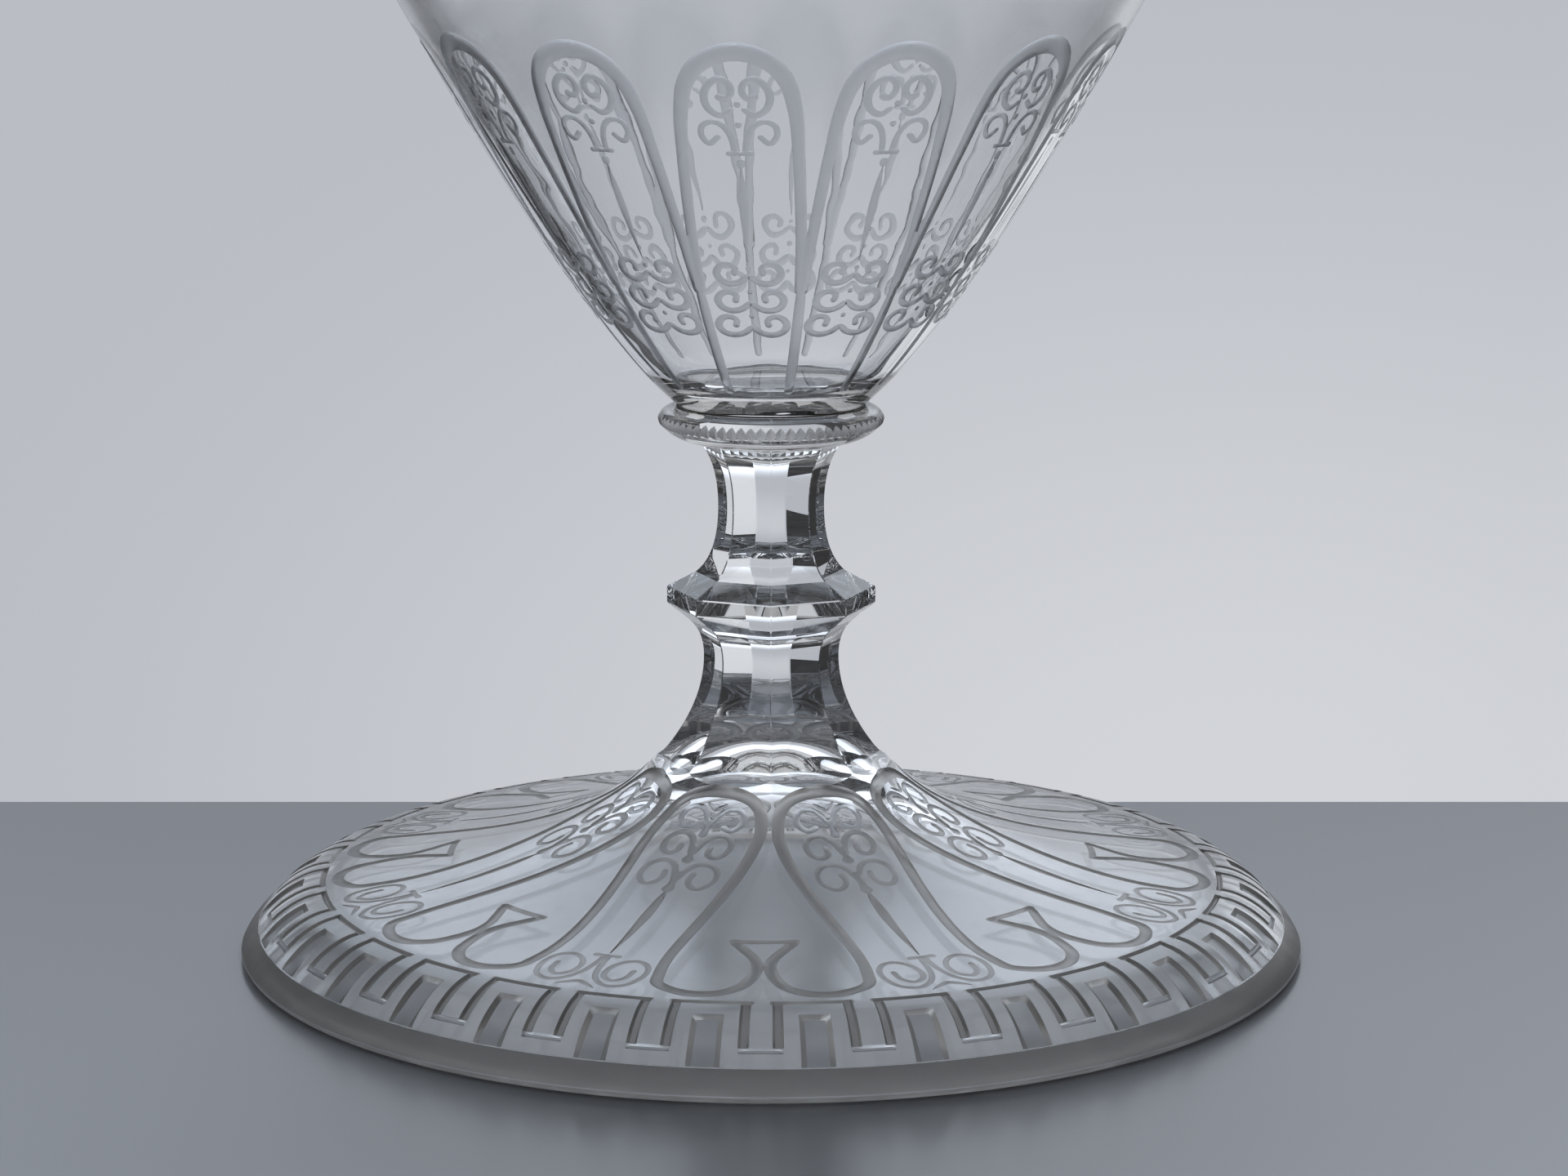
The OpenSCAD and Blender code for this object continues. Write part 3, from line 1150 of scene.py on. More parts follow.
class Dresser:
    """Holds the materials and hands finished pieces to the frame."""

    def __init__(self) -> None:
        """Builds every material once."""
        self.glass = {
            Finish.CLEAR: CLEAR_GLASS.material(),
            Finish.MATTE: MATTE_CUT.material(),
            Finish.SATIN: SATIN_CUT.material(),
            Finish.PALE: PALE_CUT.material(),
            Finish.DULL: DULL_CUT.material(),
            Finish.FROST: FROSTED.material(),
            Finish.WAVED: WAVED_GLASS.material(),
            Finish.WORN: WORN_GLASS.material(),
            Finish.JOINT: GLASS_JOINT.material(),
        }
        self.cement = {Finish.JOINT: CEMENT_FILM.material(), Finish.EDGE: CementFinish().material()}

    def dress(
        self, node: str, name: str, half: Patch, ring: Ring, slot: str = GLASS_SLOT, hand: Hand | None = None
    ) -> bpy.types.Object:
        """Makes a piece, lets it ride on the body and stand for its node.

        Args:
            node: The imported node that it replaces.
            name: The piece's name.
            half: Half of one of its sectors.
            ring: Repeats the sector.
            slot: The record's material slot.
            hand: How a hand spaced the sectors.

        Returns:
            The finished piece.
        """
        sector = half.mirrored()
        kinds = self.glass if slot == GLASS_SLOT else self.cement
        used = {finish: material for finish, material in kinds.items() if finish in sector.finishes}
        piece = ring.make(name, sector, used)
        if hand:
            hand.crowd(piece)
        ring.settle_normals(piece)
        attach(piece, BODY)
        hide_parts(node)
        log.info("%s: %d triangles", piece.name, len(piece.data.polygons))
        return piece


@dataclass
class Foot:
    """The domed foot with its engraved sweep, key border and matte rim, in millimetres."""

    node: str = "foot"
    hand: Hand = Hand(0.0, 0.028, -0.9, (14.0, 24.0))
    arches: int = 8
    columns: int = 12
    crest_height: float = 8.8
    shoulder_width: float = 9.2
    shoulder_bulge: float = 1.2
    rim_height: float = 3.6
    rim_inset: float = 2.2
    rim_bulge_height: float = 0.9
    rim_swell: float = 0.2
    rim_polish: float = 0.16
    crest_round: float = 3.0
    seat_inset: float = 1.0
    seat_width: float = 2.8
    wall: float = 3.2
    crown_wall: float = 1.0
    hollow_slope_width: float = 10.5
    hollow_slope_meet: float = 0.5
    hollow_lean: float = 7.0
    hollow_cap_pull: float = 10.0
    hollow_pull: float = 34.0
    neck_lean: float = 31.0
    crest_lean: float = 5.5
    neck_pull: float = 7.0
    crest_pull: float = 25.0
    neck_radius: float = 12.8
    neck_spare: float = 0.5
    waist_radius: float = 8.25
    waist_rise: float = 5.75
    facet_drop: float = 2.4
    facet_flare: float = 5.2
    facet_turn: float = 1.68
    groove: float = 0.22
    fine_groove: float = 0.16
    link_run: float = 31.2
    key_top: float = 45.8
    key_line: float = 0.75
    key_foot: float = 53.3
    key_half: float = 1.78
    key_leg: float = 1.15
    key_overlap: float = 0.1
    bar_half: float = 1.8
    bar_top: float = 48.3
    bar_foot: float = 58.0
    bar_wall: float = 0.6
    bar_depth: float = 0.4
    bar_fade: Pair = (53.2, 55.2)
    stretch: Stretch = Stretch(
        (0.0, 10.0, 20.0, 30.0, 40.0, 44.2, 50.0), (0.0, 8.78, 18.36, 28.85, 39.28, 43.91, 49.7)
    )

    @property
    def half_angle(self) -> float:
        """Gives half of one arch's share of the turn."""
        return TURN / self.arches / 2

    def upper_side(self) -> Profile:
        """Draws the sweep and the shoulder, from the neck out to the rim band.

        Returns:
            The outline.
        """
        height = node_levels(self.node)[1]
        band = np.array([node_radius(self.node) - self.rim_inset, self.rim_height])
        crest = np.array([band[0] - self.shoulder_width, self.crest_height])
        neck = np.array([self.neck_radius + self.neck_spare, height])
        sweep = bezier(
            [
                neck,
                neck + self.neck_pull * unit(self.neck_lean - 90),
                crest - self.crest_pull * unit(-self.crest_lean),
                crest,
            ],
            160,
        )
        along = (band - crest) / np.linalg.norm(band - crest)
        bulge = (crest + band) / 2 + 2 * self.shoulder_bulge * np.array([-along[1], along[0]])
        shoulder = bezier([crest, bulge, band], 50)
        before = sweep[sweep[:, 0] < crest[0] - self.crest_round]
        after = shoulder[shoulder[:, 0] > crest[0] + self.crest_round]
        return Profile(strung(before, bezier([before[-1], crest, after[0]], 24), after), Side.LEFT)

    def neck_facets(self) -> FacetLimit:
        """Draws the facets that carry the stem's slope into the neck.

        Returns:
            The facets.
        """
        height = node_levels(self.node)[1]
        share = math.cos(self.half_angle)
        start = np.array([self.neck_radius * share, height])
        slope = (self.neck_radius - self.waist_radius) * share / self.waist_rise
        turn = start + np.array([slope * self.facet_turn, -self.facet_turn])
        end = start + np.array([self.facet_flare, -self.facet_drop])
        return FacetLimit(Profile(bezier([start, turn, end], 40), Side.LEFT))

    def arch(self, profile: Profile) -> Stroke:
        """Draws the tongue-shaped arch with the bulb at its foot.

        Args:
            profile: The upper side's outline.

        Returns:
            The stroke.
        """
        leg = [
            (0, 3.2), (2.2, 3.5), (4.0, 4.4), (5.35, 6.0), (6.15, 8.0), (6.65, 10.0), (6.95, 13.0),
            (6.95, 17.0), (6.75, 22.0), (6.5, 28.0), (6.5, 32.5), (6.75, 36.0), (7.6, 40.0),
        ]
        bulb = [
            (11.6, 42.0), (9.8, 43.6), (7.0, 44.2), (4.2, 43.6), (2.4, 42.2), (1.4, 40.3),
            (0.78, 38.2), (0.72, 36.6), (1.0, 35.3), (1.95, 33.5), (3.1, 31.7),
        ]
        edge = self.half_angle * profile.radius_at(self.stretch.laid([run for _, run in bulb]))
        reach = [(float(width) - offset, run) for width, (offset, run) in zip(edge, bulb)]
        path = tuple([(-1.2, 3.25), *leg, *reach])
        widths = np.interp(np.arange(len(path)), (0, 5, 12, 14, 18, 25), (1.8, 1.5, 1.35, 1.5, 1.55, 1.2))
        return Stroke(path, tuple(widths), self.groove, step=0.55)

    def tongue_cuts(self) -> list[Cut]:
        """Draws what stands inside an arch: three pairs of volutes, a dart and a pair of spirals.

        Returns:
            The strokes of a half sector.
        """
        fine = self.fine_groove
        dart = Stroke(
            ((0, 21.5), (0, 23.3), (0, 25.5), (0, 30.5), (0, 36.1)), (0.1, 0.9, 1.24, 0.9, 0.12), fine
        )
        upper = [
            Stroke(((0, 10.6), (0, 9.2), (0, 8.0)), (1.15, 0.7, 0.7), fine),
            Stroke(((0.2, 8.6), (0.6, 7.7), (1.1, 6.6), (2.1, 5.9), (3.3, 6.3), (3.9, 7.5), (3.8, 8.9),
                    (2.95, 9.7), (2.0, 9.2)), (0.75, 0.75, 0.75, 0.8, 0.8, 0.8, 0.8, 0.75, 0.8),
                   fine, step=0.32),
            Stroke(((-0.4, 6.2), (0.0, 6.2), (0.55, 5.75), (1.2, 5.2)), (0.5, 0.5, 0.5, 0.3), fine),
        ]
        lower = [
            Stroke(((0, 15.2), (0, 14.6), (0, 13.4), (0, 12.6)), (1.5, 0.8, 0.75, 0.7), fine),
            Stroke(((0.2, 13.9), (0.55, 12.4), (1.2, 11.1), (2.3, 10.55), (3.6, 11.2), (4.15, 12.8),
                    (3.75, 14.1), (2.85, 14.55), (2.0, 14.0), (1.85, 12.85)), 0.82, fine, step=0.32),
            Stroke(((0, 21.2), (0, 20.5), (0, 19.2), (0, 18.0)), (1.55, 1.0, 0.9, 0.8), fine),
            Stroke(((0.2, 19.2), (0.55, 17.8), (1.25, 16.4), (2.45, 15.85), (3.85, 16.5), (4.65, 18.1),
                    (4.5, 19.7), (3.3, 20.8), (2.1, 20.2), (1.65, 19.0), (1.8, 18.0)), 0.8, fine, step=0.32),
            Stroke(((-0.6, 36.8), (0, 36.8), (0.7, 36.8), (1.3, 36.8)), (0.65, 0.65, 0.7, 0.9), fine),
            Stroke(((0.28, 37.3), (0.4, 39.0), (0.75, 40.9), (1.6, 42.7), (3.5, 43.95), (5.3, 43.4),
                    (6.2, 41.3), (5.9, 39.0), (4.9, 37.7), (3.7, 37.4), (2.4, 38.2), (1.7, 40.0),
                    (2.2, 41.9), (3.5, 42.6), (4.5, 41.7), (4.65, 39.9)), 0.72, fine, step=0.32),
            Stroke(((-0.6, 43.75), (0, 43.5), (0.9, 43.9), (2.3, 44.75)), (0.7, 0.75, 0.75, 0.15), fine),
        ]
        pale = [replace(cut, finish=Finish.PALE) for cut in upper]
        dull = [replace(cut, finish=Finish.DULL) for cut in lower]
        return [dart, *pale, *dull]

    def key_cuts(self) -> list[Cut]:
        """Draws the key border and the matte bars that hang in its teeth.

        Returns:
            The cuts of a half sector.
        """
        pitch = self.half_angle / 2
        groove = ((0.0, 0.28), (0.0, 0.34))
        polished = ((0.0, 0.22, 2.0), (0.0, 0.30, 0.30))
        walled = ((0.0, self.bar_wall, 2.0), (0.0, self.bar_depth, self.bar_depth))
        floor = ((0.0,), (self.bar_depth + 0.001,))
        radius = self.upper_side().radius_at((self.key_top + self.key_foot) / 2)
        leg = self.key_half / radius
        line, leg_half = self.key_line / 2, self.key_leg / 2
        cuts: list[Cut] = []
        for tooth in (1, 3):
            middle = tooth * pitch / 2
            reach = (pitch / 2 - leg) * radius + leg_half
            top, foot = self.key_top - line, self.key_top + line
            cuts.append(Panel(middle, reach, top, foot, groove, None, Finish.MATTE))
            top, half, fade = self.bar_top, self.bar_half, self.bar_fade
            cuts.append(Panel(middle, half, top, self.bar_foot, walled, fade, Finish.MATTE))
            inset = self.bar_wall
            cuts.append(
                Panel(middle, half - inset, top + inset, self.bar_foot - inset, floor, fade, Finish.PALE)
            )
        for gap in (0, 1, 2):
            middle = gap * pitch
            top, foot = self.key_foot - line, self.key_foot + line
            cuts.append(Panel(middle, self.key_half + leg_half, top, foot, polished, None, Finish.PALE))
            for side in (-1, 1):
                start, end = self.key_top - line, top + self.key_overlap
                cuts.append(Panel(middle + side * leg, leg_half, start, end, groove, None, Finish.MATTE))
        spare = 0.02
        return [cut for cut in cuts if -spare < cut.angle < self.half_angle + spare]

    def cuts(self, profile: Profile) -> list[Cut]:
        """Gathers everything cut into the foot's upper side.

        Args:
            profile: The upper side's outline.

        Returns:
            The cuts of a half sector.
        """
        run = self.link_run
        between = self.half_angle * float(profile.radius_at(self.stretch.laid(run)))
        path = tuple((between - back, run) for back in (-0.8, 0.0, 1.9, 3.5))
        link = Stroke(path, (0.9, 0.9, 0.9, 1.0), self.groove)
        return [self.arch(profile), link, *self.tongue_cuts(), *self.key_cuts()]

    def under_side(self, angles: Array) -> list[Patch]:
        """Turns the rim band, the seat and the hollow.

        Args:
            angles: The angles of the rim's points.

        Returns:
            The patches.
        """
        radius = node_radius(self.node)
        band = np.array([radius - self.rim_inset, self.rim_height])
        wide = np.array([radius - CLEARANCE, self.rim_bulge_height])
        seat = np.array([radius - self.seat_inset, 0.0])
        hollow = seat - np.array([self.seat_width, 0.0])
        along = (wide - band) / np.linalg.norm(wide - band)
        bulge = (band + wide) / 2 + 2 * self.rim_swell * np.array([-along[1], along[0]])
        polish = self.rim_polish * along
        upper_edge = np.linspace(band, band + polish, 3)
        face = bezier([band + polish, bulge, wide - polish], 8)
        lower_edge = np.linspace(wide - polish, wide, 3)
        rounding = bezier([wide, (wide[0], self.rim_bulge_height / 2), seat], 6)
        crest = np.array([hollow[0] - self.hollow_slope_width, self.crest_height - self.wall])
        reach = self.hollow_slope_meet * self.hollow_slope_width
        corner = crest + reach * np.array([1.0, -math.tan(math.radians(self.hollow_lean))])
        cap = np.array([0.0, node_levels(self.node)[1] - self.crown_wall])
        pull = self.hollow_pull * unit(-self.hollow_lean)
        fall = bezier([crest, crest - pull, cap + [self.hollow_cap_pull, 0], cap], 40)
        outlines = (
            (upper_edge, Finish.CLEAR),
            (face, Finish.MATTE),
            (lower_edge, Finish.PALE),
            (rounding, Finish.MATTE),
            (np.array([seat, hollow]), Finish.SATIN),
            (strung(bezier([hollow, corner, crest], 14), fall), Finish.CLEAR),
        )
        return [revolved(Profile(outline, Side.LEFT), angles, finish) for outline, finish in outlines]

    def build(self, dresser: Dresser) -> bpy.types.Object:
        """Builds and dresses the foot.

        Args:
            dresser: Holds the materials.

        Returns:
            The piece.
        """
        profile = self.upper_side()
        facets = self.neck_facets()
        side = EngravedSide(
            profile, self.half_angle, self.stretch, self.cuts(profile), self.columns,
            lambda spots: np.full(len(spots), Finish.WORN), facets,
        )
        top, neck_angles, rim_angles = side.build()
        height = node_levels(self.node)[1]
        apothem = facets.outline.points[0, 0]
        neck = disc(np.column_stack([apothem / np.cos(neck_angles), neck_angles]), height, True, Finish.JOINT)
        sector = Patch.joined(top, neck, *self.under_side(rim_angles))
        ring = Ring(self.arches, self.half_angle)
        return dresser.dress(self.node, "engraved_foot", sector, ring, hand=self.hand)


@dataclass
class FacetedLength:
    """A length of the stem with flat facets and finely broken edges, in millimetres.

    Attributes:
        node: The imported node.
        name: The piece's name.
        facets: How many facets it has.
        broken: Width of the broken edge on each facet.
    """

    node: str
    name: str
    facets: int = 8
    broken: float = 0.11

    def edge_outline(self) -> Array:
        """Draws the outline over the facet edges, rising."""
        raise NotImplementedError

    def sector(self) -> Patch:
        """Makes half a facet with half of its broken edge.

        Returns:
            The half sector.
        """
        half = TURN / self.facets / 2
        outline = self.edge_outline() * np.array([math.cos(half), 1])
        profile = Profile(outline, Side.RIGHT)
        apothem, height = outline.T
        width = apothem * math.tan(half) - self.broken
        across = np.column_stack([np.zeros(len(width)), width / 2, width])
        radius = np.hypot(apothem[:, None], across)
        angle = np.arctan2(across, apothem[:, None])
        corner = radius[:, -1] * np.cos(half - angle[:, -1])
        radius = np.column_stack([radius, corner])
        angle = np.column_stack([angle, np.full(len(corner), half)])
        rows, columns = radius.shape
        places = np.dstack([radius, angle, np.repeat(height[:, None], columns, axis=1)]).reshape(-1, 3)
        patches = []
        for first, last, face in ((0, 2, 0.0), (2, 3, half)):
            index = np.arange(rows * columns).reshape(rows, columns)[:, first:last + 1]
            a, b, c, d = index[:-1, :-1], index[1:, :-1], index[1:, 1:], index[:-1, 1:]
            triangles = np.concatenate([np.dstack([a, c, b]), np.dstack([a, d, c])]).reshape(-1, 3)
            normal = np.repeat(profile.normals, columns, axis=0)
            turn = face - places[:, 1]
            parts = np.column_stack([normal[:, 0] * np.cos(turn), normal[:, 0] * np.sin(turn), normal[:, 1]])
            patches.append(Patch(places, triangles, np.full(len(triangles), Finish.CLEAR), parts[triangles]))
        rims = places.reshape(rows, columns, 3)
        low = disc(rims[0, :, :2], height[0], False, Finish.JOINT)
        high = disc(rims[-1, :, :2], height[-1], True, Finish.JOINT)
        return Patch.joined(*patches, low, high)

    def build(self, dresser: Dresser) -> bpy.types.Object:
        """Builds and dresses the length.

        Args:
            dresser: Holds the materials.

        Returns:
            The piece.
        """
        ring = Ring(self.facets, TURN / self.facets / 2)
        return dresser.dress(self.node, self.name, self.sector(), ring)


@dataclass
class WaistedLength(FacetedLength):
    """A stem length drawn in at a waist.

    Attributes:
        low_radius: Radius over the edges at the lower end.
        waist_radius: Radius over the edges at the waist.
        waist_rise: Height of the waist above the lower end.
        top_radius: Radius over the edges at the upper end.
        low_meet: Where the lower curve's tangents meet, as a share of its height from the lower end.
        top_meet: Where the upper curve's tangents meet, as a share of its height from the upper end.
    """

    low_radius: float = 10.0
    waist_radius: float = 8.0
    waist_rise: float = 8.0
    top_radius: float = 10.0
    low_meet: float = 0.5
    top_meet: float = 0.5

    def edge_outline(self) -> Array:
        """Draws two curves that meet at the waist.

        Returns:
            The outline.
        """
        low, high = node_levels(self.node)
        waist = low + self.waist_rise
        lower_turn = low + (waist - low) * self.low_meet
        upper_turn = high + (waist - high) * self.top_meet
        slim = self.waist_radius
        return strung(
            bezier([(self.low_radius, low), (slim, lower_turn), (slim, waist)], 28),
            bezier([(slim, waist), (slim, upper_turn), (self.top_radius, high)], 22),
        )


@dataclass
class Knop(FacetedLength):
    """The flat knop with an upright band between two slopes.

    Attributes:
        low_radius: Radius over the corners at the lower joint.
        top_radius: Radius over the corners at the upper joint.
        low_slope: Height of the lower slope.
        band: Height of the upright band.
    """

    low_radius: float = 9.9
    top_radius: float = 9.2
    low_slope: float = 2.2
    band: float = 2.0

    def edge_outline(self) -> Array:
        """Draws the slopes and the band, with corners broken as the facet edges are.

        Returns:
            The outline.
        """
        low, high = node_levels(self.node)
        radius = node_radius(self.node)
        corners = np.array([
            (self.low_radius, low), (radius, low + self.low_slope),
            (radius, low + self.low_slope + self.band), (self.top_radius, high),
        ])
        points = [corners[0]]
        for before, corner, after in zip(corners, corners[1:], corners[2:]):
            for other in (before, after):
                points.append(corner + (other - corner) / np.linalg.norm(other - corner) * self.broken)
        return np.array([*points, corners[-1]])

    def sector(self) -> Patch:
        """Makes half a facet whose slopes, band and broken corners are flat."""
        patch = super().sector()
        return patch.flattened(patch.finishes == Finish.CLEAR)


@dataclass
class Collar:
    """The round disc under the bowl with a notched, rounded edge, in millimetres."""

    node: str = "collar"
    radius: float = 13.65
    notches: int = 72
    notch_angle: float = 106.0
    notch_sink: float = 0.08
    under_radius: float = 9.2
    under_joint: float = 8.2
    under_height: float = 1.8
    under_meet: Pair = (0.72, 0.24)
    edge_height: float = 1.5
    wide_height: float = 0.85
    low_inset: float = 0.6
    top_inset: float = 0.25
    crown_inset: float = 0.25
    crown_rise: float = 0.65
    ledge_radius: float = 11.8
    seat_radius: float = 11.3
    columns: int = 4
    edge_spare: float = 0.03

    @property
    def half_angle(self) -> float:
        """Gives half of one notch's share of the turn."""
        return TURN / self.notches / 2

    @property
    def spread(self) -> float:
        """Gives a notch's half width over its depth."""
        return math.tan(math.radians(self.notch_angle / 2))

    def corners(self) -> tuple[Array, Array]:
        """Gives the lower and the upper corner of the rounded edge.

        Returns:
            The two corners.
        """
        level = node_levels(self.node)[0] + self.under_height
        low = np.array([self.radius - self.low_inset, level])
        return low, np.array([self.radius - self.top_inset, level + self.edge_height])

    def outline(self) -> tuple[Array, Array, Array]:
        """Draws the collar's side.

        Returns:
            The under slope, the rounded edge and the crown above it.
        """
        level, high = node_levels(self.node)
        low, top = self.corners()
        start = np.array([self.under_radius, level])
        turn = start + (low - start) * self.under_meet
        wide = np.array([self.radius, low[1] + self.wide_height])
        edge = strung(
            bezier([low, (self.radius, (low[1] + wide[1]) / 2), wide], 10),
            bezier([wide, (self.radius, (top[1] + wide[1]) / 2), top], 10),
        )
        crown_turn = (top[0] - self.crown_inset, top[1] + (high - top[1]) * self.crown_rise)
        crown = bezier([top, crown_turn, (self.ledge_radius, high)], 8)
        return bezier([start, turn, low], 10), edge, crown

    def angles(self, reach: Array) -> Array:
        """Spaces half a pitch's angles so that one of them runs along the notch's edge.

        Args:
            reach: The notch's half width as an angle, for each row.

        Returns:
            The angles, one line for each row.
        """
        half = self.half_angle
        edge = np.clip(reach, self.edge_spare * half, (1 - self.edge_spare) * half)[:, None]
        share = np.linspace(0, 1, self.columns)
        return np.hstack([edge * share, edge + (half - edge) * share[1:]])

    def notched(self, points: Array) -> Patch:
        """Cuts half a notch into half a pitch of the collar's side.

        Args:
            points: A part of the side's outline.

        Returns:
            The patch, whose cut triangles are satin and flat.
        """
        low, top = self.corners()
        along = (top - low) / np.linalg.norm(top - low)
        outward = np.array([along[1], -along[0]])
        over = np.maximum((points - low) @ outward + self.notch_sink, 0)
        angles = self.angles(over * self.spread / points[:, 0])
        patch = revolved(Profile(points, Side.RIGHT), angles, Finish.CLEAR)
        across = patch.places[:, 0] * np.sin(patch.places[:, 1])
        depth = np.maximum(np.repeat(over, angles.shape[1]) - across / self.spread, 0)
        patch.places[:, [0, 2]] -= depth[:, None] * outward
        cut = (depth[patch.triangles] > TINY).any(axis=1)
        patch.finishes = np.where(cut, Finish.SATIN, Finish.CLEAR)
        return patch.flattened(cut)

    def build(self, dresser: Dresser) -> bpy.types.Object:
        """Builds and dresses the collar.

        Args:
            dresser: Holds the materials.

        Returns:
            The piece.
        """
        low, high = node_levels(self.node)
        angles = self.angles(np.zeros(1))[0]
        radii = (self.under_joint, self.under_radius, self.seat_radius, self.ledge_radius)
        joint, under, seat, ledge = (round_rim(radius, angles) for radius in radii)
        sector = Patch.joined(
            disc(joint, low, False, Finish.JOINT),
            level_face(joint, under, low, False, Finish.CLEAR),
            *(self.notched(part) for part in self.outline()),
            level_face(seat, ledge, high, True, Finish.CLEAR),
            disc(seat, high, True, Finish.JOINT),
        )
        return dresser.dress(self.node, "notched_collar", sector, Ring(self.notches, -TURN / 4))


@dataclass
class CementSeam:
    """The cement film under the bowl, with a squeezed-out bead round its edge, in millimetres."""

    node: str = "bowl_cement"
    bead: float = 0.12
    sectors: int = 48
    columns: int = 3

    def build(self, dresser: Dresser) -> bpy.types.Object:
        """Builds and dresses the seam.

        Args:
            dresser: Holds the materials.

        Returns:
            The piece.
        """
        low, high = node_levels(self.node)
        radius = node_radius(self.node)
        angles = np.linspace(0, TURN / self.sectors / 2, self.columns)
        rim = round_rim(radius, angles)
        bead = bezier([(radius, low), (radius + 2 * self.bead, (low + high) / 2), (radius, high)], 6)
        sector = Patch.joined(
            disc(rim, low, False, Finish.JOINT),
            revolved(Profile(bead, Side.RIGHT), angles, Finish.EDGE),
            disc(rim, high, True, Finish.JOINT),
        )
        return dresser.dress(self.node, "cement_seam", sector, Ring(self.sectors, 0.0), "cement")


